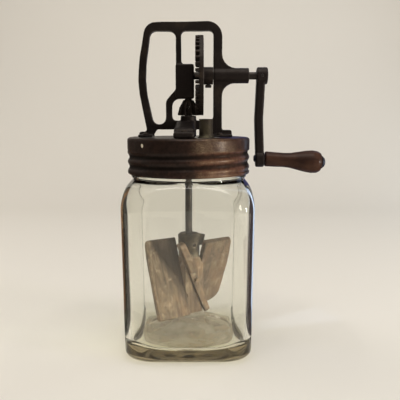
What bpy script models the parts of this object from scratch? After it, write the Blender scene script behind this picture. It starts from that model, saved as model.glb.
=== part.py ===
"""Hand-cranked glass butter churn, built piece by piece.

Metres, +Z up. The origin is the centre of the jar's base. The crank is on +X, and the front faces -Y.
"""
import math

import bmesh
import bpy
from mathutils import Vector

# Clearances that every piece shares
SEAT_GAP = 0.0003
FIT_GAP = 0.0002
RUNNING_GAP = 0.0001
CUT_OVERRUN = 0.003
WELD_DISTANCE = 0.00001
ROUND_SIDES = 30
SMALL_SIDES = 16
PIN_SIDES = 14
SMOOTH_ANGLE = math.radians(35)
BEVEL_ANGLE = math.radians(50)
ARC_STEP = math.radians(18)
FLAT_ANGLE = 0.001

# Glass jar: a rounded square body with a round threaded neck and a round floor inside
JAR_WIDTH = 0.137
JAR_TAPER = 0.0015
JAR_CORNER_RADIUS = 0.020
JAR_WALL = 0.0045
JAR_FLOOR = 0.012
JAR_FOOT_WIDTH = 0.116
JAR_FOOT_CORNER_RADIUS = 0.030
JAR_HEEL_HEIGHT = 0.011
JAR_FLOOR_RADIUS = 0.054
JAR_FLOOR_FILLET = 0.013
JAR_BODY_HEIGHT = 0.147
JAR_SHOULDER_HEIGHT = 0.024
JAR_NECK_RADIUS = 0.061
JAR_NECK_HEIGHT = 0.0486
JAR_RING_HEIGHT = 0.006
JAR_RING_DEPTH = 0.0012
JAR_RING_FLAT_SHARES = (0.25, 0.75)
JAR_RIM_ROUNDING = 0.0012
HEEL_STEPS = 4
SHOULDER_STEPS = 6
CORNER_POINTS = 8

# Screw thread, moulded on the neck and rolled into the lid
THREAD_PITCH = 0.0103
THREAD_DEPTH = 0.0018
THREAD_START = 0.0027
THREAD_FADE = 0.002
THREAD_ROWS = 5

# Tin screw lid
LID_THICKNESS = 0.0008
LID_HEIGHT = 0.039
LID_BAND = 0.0125
LID_GROOVE = 0.0019
LID_CLEARANCE = 0.0012
LID_EDGE_RADIUS = 0.003
LID_EDGE_SHARES = (0.0, 0.5, 1.0)
LID_CURL = 0.0012
LID_SHAFT_CLEARANCE = 0.0006

# Vent tube soldered on the lid, with its strainer
VENT_X = 0.0186
VENT_INSET = 0.0267
VENT_RADIUS = 0.0070
VENT_WALL = 0.0007
VENT_HEIGHT = 0.0192
VENT_FLANGE = 0.0016
VENT_FLANGE_THICKNESS = 0.0008
STRAINER_THICKNESS = 0.0008
STRAINER_HEIGHT = 0.0030
STRAINER_HOLE_RADIUS = 0.0006
STRAINER_HOLES = 6
STRAINER_RING_SHARE = 0.55

# Gears: a crown gear on the crank shaft drives a pinion on the dasher shaft
GEAR_TEETH = 40
PINION_TEETH = 10
GEAR_RADIUS = 0.0419
GEAR_TOOTH_LENGTH = 0.0095
GEAR_TOOTH_HEIGHT = 0.0044
GEAR_TOOTH_TIP = 0.0016
GEAR_TOOTH_ROOT = 0.0027
GEAR_RIM_THICKNESS = 0.0043
GEAR_WEB_THICKNESS = 0.0032
GEAR_RIM_WIDTH = 0.012
GEAR_HUB_RADIUS = 0.0092
GEAR_HUB_LENGTH = 0.0102
GEAR_TIP_X = 0.0076
PINION_TIP_RADIUS = 0.0117
PINION_ROOT_RADIUS = 0.0071
PINION_TOOTH_TIP = 0.0014
PINION_TOOTH_ROOT = 0.0024
PINION_LENGTH = 0.0166
PINION_TIP_SHARES = ((0.0, 0.96), (0.06, 1.0), (0.52, 0.83), (0.78, 0.62), (0.97, 0.42))
PINION_ROOT_SHARES = ((0.0, 1.0), (0.52, 0.97), (0.78, 0.86), (0.97, 0.72), (1.0, 0.66))
PINION_PIN_SHARE = 0.52
GEAR_SCREW_RADIUS = 0.0022
GEAR_SCREW_HEAD_WIDTH = 0.0066
GEAR_SCREW_HEAD_HEIGHT = 0.0030
GEAR_SCREW_EDGE = 0.0005
PINION_PIN_RADIUS = 0.0010

# Cast-iron frame with its hand hole, gear window, bearings and feet
FRAME_DEPTH = 0.009
FRAME_EDGE = 0.0019
CAST_OVERLAP = 0.0004
GRIP_INSET = 0.0134
GRIP_BAR = 0.0077
GRIP_BAR_CORNER_SHARE = 0.68
GRIP_BAR_SHARES = ((0.848, 0.074, 0.025), (1.007, 0.438, 0.5), (0.982, 0.661, 0.5), (0.844, 1.0, 0.107))
TOP_BAR = 0.0089
TOP_BAR_RISE = 0.0013
TOP_CORNER_RADIUS = 0.0155
MID_POST = 0.0055
RIGHT_POST = 0.0093
RAIL_HEIGHT = 0.008
RAIL_THICKNESS = 0.0055
RAIL_CENTRE_THICKNESS = 0.0095
ARCH_BAR = 0.0067
ARCH_CLEARANCE = 0.0058
ARCH_RADIUS = 0.008
ARCH_SHOULDER = 0.0105
HOLE_RADIUS = 0.007
WINDOW_RADIUS = 0.0045
SMALL_RADIUS = 0.0022
GEAR_CLEARANCE = 0.0041
GEAR_SIDE_CLEARANCE = 0.0015
PINION_END_PLAY = 0.0009
BLOCK_LEFT = 0.0131
BLOCK_DEPTH = 0.016
BLOCK_ABOVE_SHAFT = 0.012
BLOCK_EDGE = 0.0015
BOSS_RADIUS = 0.0085
BOSS_HEIGHT = 0.0228
TUBE_RADIUS = 0.0081
GUSSET_REACH = 0.014
GUSSET_RADIUS = 0.015
LOWER_GUSSET_RADIUS = 0.0135
LEFT_FOOT_LENGTH = 0.0193
LEFT_FOOT_SLANT = 0.0042
LEFT_FOOT_THICKNESS = 0.0057
RIGHT_FOOT_LENGTH = 0.0213
RIGHT_FOOT_THICKNESS = 0.0075
RIGHT_FOOT_SETBACK = 0.0011
FLANGE_REACH = 0.014
FLANGE_THICKNESS = 0.0026
FLANGE_EDGE = 0.0006
LEG_INSET = 0.0087
LEG_PAD_LENGTH = 0.014
LEG_PAD_THICKNESS = 0.0065
LEG_PAD_STEP_SHARE = 0.12
LEG_PAD_HEEL_SHARE = 1.5
LEG_WIDTH = 0.021
LEG_ROOT_WIDTH = 0.0190
LEG_OFFSET = -0.0035
LEG_RISE = 0.0165
LEG_EDGE = 0.0021
RIVET_RADIUS = 0.0016
RIVET_HEAD_RADIUS = 0.0034
RIVET_HEAD_HEIGHT = 0.0020
RIVET_CROWN_SHARES = (0.62, 0.8)
RIVET_TAIL_RADIUS = 0.0026
RIVET_TAIL_HEIGHT = 0.0010
RIVET_EDGE_DISTANCE = 0.0042
RIGHT_RIVET_INSET = 0.0065

# Crank: shaft, bent arm and its pin
CRANK_SHAFT_RADIUS = 0.0039
CRANK_SHAFT_BITE = 0.0090
CRANK_NECK_LENGTH = 0.0084
ARM_LID_CLEARANCE = 0.0065
CRANK_RADIUS = 0.0889
ARM_BOSS_RADIUS = 0.009
ARM_BOSS_LENGTH = 0.0116
ARM_THICKNESS = 0.0092
ARM_WIDTH = 0.0115
ARM_BEND = 0.0018
ARM_BEND_SHARE = 0.52
ARM_BEND_STEP = math.radians(3)
ARM_EYE_RADIUS = 0.0090
ARM_EDGE = 0.0018
ARM_BOSS_EDGE = 0.0009
ARM_PIN_RADIUS = 0.0015

# Turned wooden grip on its bolt, which droops a little outwards
GRIP_DROOP = math.radians(3.5)
GRIP_LENGTH = 0.0624
GRIP_RADIUS = 0.0125
GRIP_SHARES = (
    (0.0, 0.61), (0.02, 0.66), (0.12, 0.645), (0.33, 0.625), (0.46, 0.675), (0.58, 0.79),
    (0.72, 0.94), (0.83, 1.0), (0.92, 0.955), (0.975, 0.80), (1.0, 0.56),
)
BOLT_SIDES = 24
BOLT_RADIUS = 0.0026
BOLT_HEAD_RADIUS = 0.00585
BOLT_HEAD_HEIGHT = 0.0027
BOLT_HEAD_SHARES = ((0.0, 1.0), (0.5, 0.88), (0.87, 0.5), (1.0, 0.0))
BOLT_TAIL_RADIUS = 0.0042
BOLT_TAIL_TIP_RADIUS = 0.0029
BOLT_TAIL_HEIGHT = 0.0014
WASHER_RADIUS = 0.0068
WASHER_THICKNESS = 0.0008

# Dasher: shaft, metal hub, wooden core, two broad and two narrow slanted paddles
DASHER_TURN = math.radians(32)
FRONT_PADDLE_SKEW = math.radians(-5)
DASHER_SHAFT_RADIUS = 0.00385
DASHER_SHAFT_BITE = 0.014
PADDLE_BOTTOM = 0.0352
PADDLE_LENGTH = 0.0882
PADDLE_THICKNESS = 0.0075
PADDLE_PITCH = math.radians(22.8)
BROAD_PADDLE_RADIUS = 0.0478
NARROW_PADDLE_RADIUS = 0.0206
PADDLE_GROOVE = 0.0025
PADDLE_EDGE = 0.0008
PADDLE_CORNER = 0.0045
PADDLE_WORN_CORNER = 0.016
PADDLE_INNER_CORNER = 0.0012
PADDLE_CORNER_LIMIT_SHARE = 1 / 3
CORE_WIDTH = 0.024
CORE_EDGE = 0.0012
CORE_SHOULDER_HEIGHT = 0.008
CORE_SHOULDER_SHARES = ((1.0, 0.1), (0.35, 0.6))
CORE_BELOW_PADDLES = 0.0004
CORE_SHAFT_DEPTH = 0.016
HUB_RADIUS = 0.0120
HUB_BOTTOM_RADIUS = 0.0116
HUB_HEIGHT = 0.0255
HUB_BOTTOM = 0.100
HUB_WALL = 0.0015
HUB_TOP_THICKNESS = 0.003
HUB_EDGE = 0.0018
HUB_PIN_RADIUS = 0.00185
HUB_PIN_DROP = 0.0120
HUB_EAR_REACH = 0.0060
HUB_EAR_HEIGHT = 0.0135
HUB_EAR_THICKNESS = 0.0030
HUB_EAR_DROP = 0.0006
HUB_EAR_LOWER_SHARES = (0.62, 0.93)
HUB_EAR_TURN = math.radians(-28)
DOWEL_RADIUS = 0.0019
DOWEL_BITE = 0.007
DOWEL_STEP = 0.0025

# Heights and places that follow from the sizes above
JAR_HEIGHT = JAR_HEEL_HEIGHT + JAR_BODY_HEIGHT + JAR_SHOULDER_HEIGHT + JAR_NECK_HEIGHT
NECK_BOTTOM = JAR_HEIGHT - JAR_NECK_HEIGHT
LID_TOP = JAR_HEIGHT + SEAT_GAP + LID_THICKNESS
LID_BOTTOM = LID_TOP - LID_HEIGHT
LID_RADIUS = JAR_NECK_RADIUS + THREAD_DEPTH + LID_CLEARANCE + LID_GROOVE + LID_THICKNESS
VENT_Y = VENT_INSET - LID_RADIUS
GRIP_REACH = LID_RADIUS - GRIP_INSET
LEG_REACH = LID_RADIUS - LEG_INSET
BASE = LID_TOP + SEAT_GAP
BOSS_TOP = BASE + BOSS_HEIGHT
PINION_BOTTOM = BOSS_TOP + SEAT_GAP
PINION_TOP = PINION_BOTTOM + PINION_LENGTH
ARCH_TOP = PINION_TOP + PINION_END_PLAY
CRANK_Z = PINION_BOTTOM + GEAR_RADIUS
FRAME_TOP = CRANK_Z + GEAR_RADIUS + GEAR_CLEARANCE + TOP_BAR
BLOCK_TOP = CRANK_Z + BLOCK_ABOVE_SHAFT
BLOCK_RIGHT = GEAR_TIP_X - GEAR_SIDE_CLEARANCE
GEAR_BACK_X = GEAR_TIP_X + GEAR_TOOTH_HEIGHT + GEAR_RIM_THICKNESS
POST_INNER_X = GEAR_BACK_X + GEAR_HUB_LENGTH + SEAT_GAP
POST_OUTER_X = POST_INNER_X + RIGHT_POST
ARM_INNER_X = LID_RADIUS + ARM_LID_CLEARANCE
TUBE_END_X = ARM_INNER_X - CRANK_NECK_LENGTH
ARM_OUTER_X = ARM_INNER_X + ARM_THICKNESS
HANDLE_Z = CRANK_Z - CRANK_RADIUS
GRIP_PLACE = Vector((ARM_OUTER_X, 0, HANDLE_Z))
GRIP_DIRECTION = Vector((math.cos(GRIP_DROOP), 0, -math.sin(GRIP_DROOP)))
GRIP_START = SEAT_GAP + GRIP_RADIUS * math.sin(GRIP_DROOP)
GRIP_END = GRIP_START + GRIP_LENGTH
PADDLE_HEIGHT = PADDLE_LENGTH * math.cos(PADDLE_PITCH) + PADDLE_THICKNESS * math.sin(PADDLE_PITCH)
PADDLE_MIDDLE = PADDLE_BOTTOM + PADDLE_HEIGHT / 2
HUB_TOP = HUB_BOTTOM + HUB_HEIGHT
DASHER_SHAFT_TOP = ARCH_TOP + DASHER_SHAFT_BITE
DASHER_SHAFT_BOTTOM = HUB_BOTTOM - CORE_SHAFT_DEPTH

Y_AXIS = Vector((0, 1, 0))
Z_AXIS = Vector((0, 0, 1))


def start_scene():
    """Empty the scene and make one collection for the churn and one for its cutters."""
    for item in list(bpy.data.objects):
        bpy.data.objects.remove(item, do_unlink=True)
    found = {}
    for name in ("butter_churn", "cutters"):
        found[name] = bpy.data.collections.new(name)
        bpy.context.scene.collection.children.link(found[name])
    return found["butter_churn"], found["cutters"]


PARTS, CUTTERS = start_scene()


def make_material(name, colour, metallic, roughness, alpha=1.0):
    """A Principled material with one plain colour."""
    material = bpy.data.materials.new(name)
    material.use_nodes = True
    shader = material.node_tree.nodes["Principled BSDF"]
    shader.inputs["Base Color"].default_value = (*colour, 1.0)
    shader.inputs["Metallic"].default_value = metallic
    shader.inputs["Roughness"].default_value = roughness
    shader.inputs["Alpha"].default_value = alpha
    return material


GLASS = make_material("jar_glass", (0.62, 0.70, 0.62), 0.0, 0.05, 0.35)
RUSTED_TIN = make_material("lid_rusted_tin", (0.085, 0.045, 0.035), 0.4, 0.55)
DULL_TIN = make_material("vent_dull_tin", (0.12, 0.12, 0.08), 0.5, 0.6)
BLACK_IRON = make_material("frame_black_iron", (0.030, 0.026, 0.028), 0.5, 0.5)
SHAFT_STEEL = make_material("shaft_dark_steel", (0.10, 0.10, 0.11), 0.8, 0.45)
BOLT_STEEL = make_material("bolt_blued_steel", (0.16, 0.19, 0.25), 0.9, 0.35)
GRIP_WOOD = make_material("grip_dark_wood", (0.12, 0.045, 0.028), 0.0, 0.45)
PADDLE_WOOD = make_material("paddle_weathered_wood", (0.30, 0.24, 0.17), 0.0, 0.85)
HUB_METAL = make_material("hub_grey_metal", (0.13, 0.14, 0.12), 0.6, 0.6)


def use_material(piece, material):
    piece.data.materials.clear()
    piece.data.materials.append(material)


def place(name, mesh, material=None):
    """Put a mesh in the scene, as a piece with its material or as a cutter without one."""
    piece = bpy.data.objects.new(name, mesh)
    if material is None:
        CUTTERS.objects.link(piece)
        piece.hide_render = True
        piece.display_type = "WIRE"
        return piece
    PARTS.objects.link(piece)
    use_material(piece, material)
    return piece


def adopt(name, material=None):
    """Take the primitive just added out of the scene's collection and into the right one."""
    made = bpy.context.object
    for collection in list(made.users_collection):
        collection.objects.unlink(made)
    mesh = made.data
    mesh.name = name
    matrix = made.matrix_world.copy()
    bpy.data.objects.remove(made)
    piece = place(name, mesh, material)
    piece.matrix_world = matrix
    return piece


def shade(piece):
    piece.data.shade_smooth()
    piece.data.set_sharp_from_angle(angle=SMOOTH_ANGLE)


def cylinder(name, radius, start, end, sides=ROUND_SIDES, material=None):
    """A round bar from one point to another, with its origin on its axis."""
    start = Vector(start)
    end = Vector(end)
    along = end - start
    bpy.ops.mesh.primitive_cylinder_add(
        vertices=sides,
        radius=radius,
        depth=along.length,
        location=(start + end) / 2,
        rotation=along.to_track_quat("Z", "X").to_euler(),
    )
    bpy.context.view_layer.update()
    piece = adopt(name, material)
    shade(piece)
    return piece


def box(name, low, high, material=None):
    """A block between two corners, with its size in its mesh."""
    low = Vector(low)
    high = Vector(high)
    bpy.ops.mesh.primitive_cube_add(size=1, location=(low + high) / 2)
    bpy.context.view_layer.update()
    piece = adopt(name, material)
    for vertex in piece.data.vertices:
        vertex.co *= high - low
    return piece


def bevel(piece, width, segments=2):
    modifier = piece.modifiers.new("rounded_edges", "BEVEL")
    modifier.width = width
    modifier.segments = segments
    modifier.limit_method = "ANGLE"
    modifier.angle_limit = BEVEL_ANGLE


def combine(piece, tool, operation):
    modifier = piece.modifiers.new(operation.lower(), "BOOLEAN")
    modifier.operation = operation
    modifier.object = tool
    modifier.solver = "EXACT"


def cut(piece, *tools):
    for tool in tools:
        combine(piece, tool, "DIFFERENCE")


def join(piece, *tools):
    for tool in tools:
        combine(piece, tool, "UNION")


def turned(name, profile, start, direction, steps=32, material=None):
    """Turn a profile of (radius, distance) about a line, running down its outer side."""
    mesh = bpy.data.meshes.new(name)
    closed = all(radius > 0 for radius, _ in profile)
    edges = [(index, index + 1) for index in range(len(profile) - 1)]
    if closed:
        edges.append((len(profile) - 1, 0))
    mesh.from_pydata([(radius, 0, distance) for radius, distance in profile], edges, [])
    piece = place(name, mesh, material)
    piece.location = start
    piece.rotation_mode = "QUATERNION"
    piece.rotation_quaternion = Vector(direction).to_track_quat("Z", "Y")
    screw = piece.modifiers.new("turn", "SCREW")
    screw.axis = "Z"
    screw.steps = steps
    screw.render_steps = steps
    screw.use_merge_vertices = True
    screw.merge_threshold = WELD_DISTANCE
    screw.use_smooth_shade = True
    weld = piece.modifiers.new("close_ends", "WELD")
    weld.merge_threshold = WELD_DISTANCE
    return piece


def ring(half_width, corner_radius, height, turn=0.0, swell=None):
    """One level of a rounded square, which is a circle when its corner radius is its half width."""
    points = []
    centre = half_width - corner_radius
    for quarter in range(4):
        for step in range(CORNER_POINTS):
            angle = math.pi / 2 * (quarter + (step + 0.5) / CORNER_POINTS)
            radius = corner_radius
            if swell is not None:
                radius += swell(angle, height)
            x = math.copysign(centre, math.cos(angle)) + radius * math.cos(angle)
            y = math.copysign(centre, math.sin(angle)) + radius * math.sin(angle)
            points.append((
                x * math.cos(turn) - y * math.sin(turn),
                x * math.sin(turn) + y * math.cos(turn),
                height,
            ))
    return points


def loft(name, rings, material, close_last=True):
    """Skin rings of equal count, and close the first and last with a flat face."""
    build = bmesh.new()
    rows = [[build.verts.new(point) for point in points] for points in rings]
    count = len(rows[0])
    build.faces.new(list(reversed(rows[0])))
    for low, high in zip(rows, rows[1:]):
        for index in range(count):
            after = (index + 1) % count
            build.faces.new((low[index], low[after], high[after], high[index]))
    if close_last:
        build.faces.new(rows[-1])
    bmesh.ops.recalc_face_normals(build, faces=build.faces)
    mesh = bpy.data.meshes.new(name)
    build.to_mesh(mesh)
    build.free()
    piece = place(name, mesh, material)
    shade(piece)
    return piece


def rounded_outline(corners, step=ARC_STEP):
    """Points round a closed outline whose corners (x, y, radius) are arcs."""
    points = []
    for index, (x, y, radius) in enumerate(corners):
        here = Vector((x, y))
        before = (Vector(corners[index - 1][:2]) - here).normalized()
        after = (Vector(corners[(index + 1) % len(corners)][:2]) - here).normalized()
        turn = math.pi - before.angle(after)
        if radius == 0 or turn < FLAT_ANGLE:
            points.append(here)
            continue
        reach = radius * math.tan(turn / 2)
        middle = here + (before + after).normalized() * radius / math.cos(turn / 2)
        first = here + before * reach - middle
        last = here + after * reach - middle
        sections = max(1, math.ceil(turn / step))
        side = math.copysign(1, first.x * last.y - first.y * last.x)
        for section in range(sections + 1):
            angle = side * turn * section / sections
            points.append(middle + Vector((
                first.x * math.cos(angle) - first.y * math.sin(angle),
                first.x * math.sin(angle) + first.y * math.cos(angle),
            )))
    return points


def plate(name, outlines, thickness, material=None):
    """A flat casting or board: filled outlines in its own XY plane, given half its thickness each way."""
    curve = bpy.data.curves.new(name, "CURVE")
    curve.dimensions = "2D"
    curve.fill_mode = "BOTH"
    curve.extrude = thickness / 2
    for points in outlines:
        spline = curve.splines.new("POLY")
        spline.points.add(len(points) - 1)
        for target, point in zip(spline.points, points):
            target.co = (point[0], point[1], 0, 1)
        spline.use_cyclic_u = True
    drawn = bpy.data.objects.new(name, curve)
    bpy.context.scene.collection.objects.link(drawn)
    bpy.context.view_layer.update()
    graph = bpy.context.evaluated_depsgraph_get()
    mesh = bpy.data.meshes.new_from_object(drawn.evaluated_get(graph))
    bpy.data.objects.remove(drawn)
    build = bmesh.new()
    build.from_mesh(mesh)
    bmesh.ops.remove_doubles(build, verts=build.verts, dist=WELD_DISTANCE)
    bmesh.ops.dissolve_limit(build, angle_limit=FLAT_ANGLE, verts=build.verts, edges=build.edges)
    bmesh.ops.recalc_face_normals(build, faces=build.faces)
    build.to_mesh(mesh)
    build.free()
    mesh.name = name
    return place(name, mesh, material)


def hang(pieces, name, location):
    """Parent moving pieces to an empty that stands on their joint's axis."""
    empty = bpy.data.objects.new(name, None)
    PARTS.objects.link(empty)
    empty.location = location
    bpy.context.view_layer.update()
    for piece in pieces:
        piece.parent = empty
        piece.matrix_parent_inverse = empty.matrix_world.inverted()


def thread_phase(angle, height):
    """How far a point is above the nearest turn's crest below it, as a share of the pitch."""
    turn_share = ((angle - math.pi) / (2 * math.pi)) % 1
    crest = LID_BOTTOM + THREAD_START + THREAD_PITCH * turn_share
    return ((height - crest) / THREAD_PITCH) % 1


def fade(height, low, high):
    """Zero at the ends of the thread and one along it."""
    share = min(height - low, high - height) / THREAD_FADE
    return max(0.0, min(1.0, share))


def spread(low, high, rows):
    return [low + (high - low) * index / rows for index in range(rows + 1)]


def make_jar():
    """One moulded glass body: flat foot, square sides, round shoulder and a threaded neck."""
    half_top = JAR_WIDTH / 2
    half_heel = half_top - JAR_TAPER
    thread_low = LID_BOTTOM + THREAD_START - THREAD_FADE
    thread_high = LID_TOP - LID_BAND

    def bead(angle, height):
        crest = max(0.0, math.cos(2 * math.pi * thread_phase(angle, height)))
        return THREAD_DEPTH * crest * fade(height, thread_low, thread_high)

    def heel(start_half, start_corner, start_height, height, inset):
        levels = []
        for index in range(HEEL_STEPS + 1):
            angle = math.pi / 2 * index / HEEL_STEPS
            half = start_half + (half_heel - inset - start_half) * math.sin(angle)
            corner = start_corner + (JAR_CORNER_RADIUS - inset - start_corner) * math.sin(angle)
            levels.append((half, corner, start_height + height * (1 - math.cos(angle))))
        return levels

    def shoulder(inset):
        levels = []
        for index in range(SHOULDER_STEPS + 1):
            angle = math.pi / 2 * index / SHOULDER_STEPS
            share = 1 - math.cos(angle)
            half = half_top + (JAR_NECK_RADIUS - half_top) * share - inset
            corner = JAR_CORNER_RADIUS + (JAR_NECK_RADIUS - JAR_CORNER_RADIUS) * share - inset
            rise = JAR_SHOULDER_HEIGHT * math.sin(angle)
            levels.append((half, corner, JAR_HEEL_HEIGHT + JAR_BODY_HEIGHT + rise))
        return levels

    outside = heel(JAR_FOOT_WIDTH / 2, JAR_FOOT_CORNER_RADIUS, 0, JAR_HEEL_HEIGHT, 0) + shoulder(0)
    rings = [ring(half, corner, height) for half, corner, height in outside]
    ring_radius = JAR_NECK_RADIUS + JAR_RING_DEPTH
    for share in JAR_RING_FLAT_SHARES:
        rings.append(ring(ring_radius, ring_radius, NECK_BOTTOM + JAR_RING_HEIGHT * share))
    rings.append(ring(JAR_NECK_RADIUS, JAR_NECK_RADIUS, NECK_BOTTOM + JAR_RING_HEIGHT))
    rows = math.ceil((thread_high - thread_low) / THREAD_PITCH * THREAD_ROWS)
    for height in spread(thread_low, thread_high, rows):
        rings.append(ring(JAR_NECK_RADIUS, JAR_NECK_RADIUS, height, swell=bead))
    rings.append(ring(JAR_NECK_RADIUS, JAR_NECK_RADIUS, JAR_HEIGHT - JAR_RIM_ROUNDING))
    rim_outer = JAR_NECK_RADIUS - JAR_RIM_ROUNDING
    rings.append(ring(rim_outer, rim_outer, JAR_HEIGHT))
    mouth = JAR_NECK_RADIUS - JAR_WALL
    rim_inner = mouth + JAR_RIM_ROUNDING
    rings.append(ring(rim_inner, rim_inner, JAR_HEIGHT))
    rings.append(ring(mouth, mouth, JAR_HEIGHT - JAR_RIM_ROUNDING))
    floor = heel(JAR_FLOOR_RADIUS, JAR_FLOOR_RADIUS, JAR_FLOOR, JAR_FLOOR_FILLET, JAR_WALL)
    for half, corner, height in reversed(floor + shoulder(JAR_WALL)):
        rings.append(ring(half, corner, height))
    loft("jar", rings, GLASS)


def rivet_places():
    """The names and places of the rivets that hold the frame's feet on the lid."""
    left_x = -GRIP_REACH + (LEFT_FOOT_LENGTH - LEFT_FOOT_SLANT) / 2
    right_x = POST_INNER_X + RIGHT_RIVET_INSET
    side_y = FLANGE_REACH - RIVET_EDGE_DISTANCE
    leg_y = LEG_REACH - LEG_PAD_LENGTH / 2
    flange_top = BASE + FLANGE_THICKNESS
    pad_top = BASE + LEG_PAD_THICKNESS
    return (
        ("rivet_left_front", left_x, -side_y, flange_top),
        ("rivet_left_back", left_x, side_y, flange_top),
        ("rivet_right_front", right_x, -side_y, flange_top),
        ("rivet_right_back", right_x, side_y, flange_top),
        ("rivet_front_leg", LEG_OFFSET, -leg_y, pad_top),
        ("rivet_back_leg", LEG_OFFSET, leg_y, pad_top),
    )


def rivet_hole(name, x, y, top):
    low = (x, y, LID_TOP - LID_THICKNESS - CUT_OVERRUN)
    high = (x, y, top + CUT_OVERRUN)
    return cylinder(f"{name}_hole", RIVET_RADIUS + FIT_GAP, low, high, SMALL_SIDES)


def make_rivets():
    """Soft rivets: a domed head on the foot, and a tail closed under the lid."""
    under = LID_TOP - LID_THICKNESS - SEAT_GAP
    crown_width_share, crown_height_share = RIVET_CROWN_SHARES
    for name, x, y, top in rivet_places():
        seat = top + SEAT_GAP
        profile = [
            (0, seat + RIVET_HEAD_HEIGHT),
            (RIVET_HEAD_RADIUS * crown_width_share, seat + RIVET_HEAD_HEIGHT * crown_height_share),
            (RIVET_HEAD_RADIUS, seat),
            (RIVET_RADIUS, seat),
            (RIVET_RADIUS, under),
            (RIVET_TAIL_RADIUS, under),
            (RIVET_TAIL_RADIUS, under - RIVET_TAIL_HEIGHT),
            (0, under - RIVET_TAIL_HEIGHT),
        ]
        turned(name, profile, (x, y, 0), Z_AXIS, SMALL_SIDES, BLACK_IRON)


def make_lid():
    """A pressed tin cap with a plain top band, a rolled thread and a curled rim."""
    thread_low = LID_BOTTOM + THREAD_START
    thread_high = LID_TOP - LID_BAND

    def groove(angle, height):
        depth = (1 - math.cos(2 * math.pi * thread_phase(angle, height))) / 2
        return -LID_GROOVE * depth * fade(height, thread_low, thread_high)

    rings = []
    for share in LID_EDGE_SHARES:
        angle = math.pi / 2 * share
        radius = LID_RADIUS - LID_EDGE_RADIUS * (1 - math.sin(angle))
        rings.append(ring(radius, radius, LID_TOP - LID_EDGE_RADIUS * (1 - math.cos(angle))))
    rows = math.ceil((thread_high - thread_low) / THREAD_PITCH * THREAD_ROWS)
    for height in reversed(spread(thread_low, thread_high, rows)):
        rings.append(ring(LID_RADIUS, LID_RADIUS, height, swell=groove))
    for height in (LID_BOTTOM + LID_CURL, LID_BOTTOM):
        rings.append(ring(LID_RADIUS, LID_RADIUS, height))
    lid = loft("lid", rings, RUSTED_TIN, close_last=False)
    shell = lid.modifiers.new("tin_thickness", "SOLIDIFY")
    shell.thickness = LID_THICKNESS
    shell.offset = -1
    low = LID_TOP - LID_THICKNESS - CUT_OVERRUN
    high = LID_TOP + CUT_OVERRUN
    hole = DASHER_SHAFT_RADIUS + LID_SHAFT_CLEARANCE
    cut(lid, cylinder("lid_shaft_hole", hole, (0, 0, low), (0, 0, high)))
    vent = VENT_RADIUS - VENT_WALL
    cut(lid, cylinder("lid_vent_hole", vent, (VENT_X, VENT_Y, low), (VENT_X, VENT_Y, high)))
    for name, x, y, _ in rivet_places():
        cut(lid, rivet_hole(f"lid_{name}", x, y, LID_TOP))


def make_vent():
    """A short seamed tube with a flange at its foot, and a pierced strainer inside it."""
    bore = VENT_RADIUS - VENT_WALL
    foot = BASE
    profile = [
        (VENT_RADIUS, foot + VENT_HEIGHT),
        (VENT_RADIUS, foot + VENT_FLANGE_THICKNESS),
        (VENT_RADIUS + VENT_FLANGE, foot + VENT_FLANGE_THICKNESS),
        (VENT_RADIUS + VENT_FLANGE, foot),
        (bore, foot),
        (bore, foot + VENT_HEIGHT),
    ]
    turned("vent_tube", profile, (VENT_X, VENT_Y, 0), Z_AXIS, ROUND_SIDES, DULL_TIN)
    low = foot + STRAINER_HEIGHT
    radius = bore - SEAT_GAP
    start = (VENT_X, VENT_Y, low)
    end = (VENT_X, VENT_Y, low + STRAINER_THICKNESS)
    strainer = cylinder("vent_strainer", radius, start, end, ROUND_SIDES, DULL_TIN)
    places = [(VENT_X, VENT_Y)]
    for index in range(STRAINER_HOLES):
        angle = 2 * math.pi * index / STRAINER_HOLES
        reach = radius * STRAINER_RING_SHARE
        places.append((VENT_X + reach * math.cos(angle), VENT_Y + reach * math.sin(angle)))
    for index, (x, y) in enumerate(places):
        bottom = (x, y, low - CUT_OVERRUN)
        top = (x, y, low + STRAINER_THICKNESS + CUT_OVERRUN)
        cut(strainer, cylinder(f"strainer_hole_{index}", STRAINER_HOLE_RADIUS, bottom, top, SMALL_SIDES))


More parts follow.
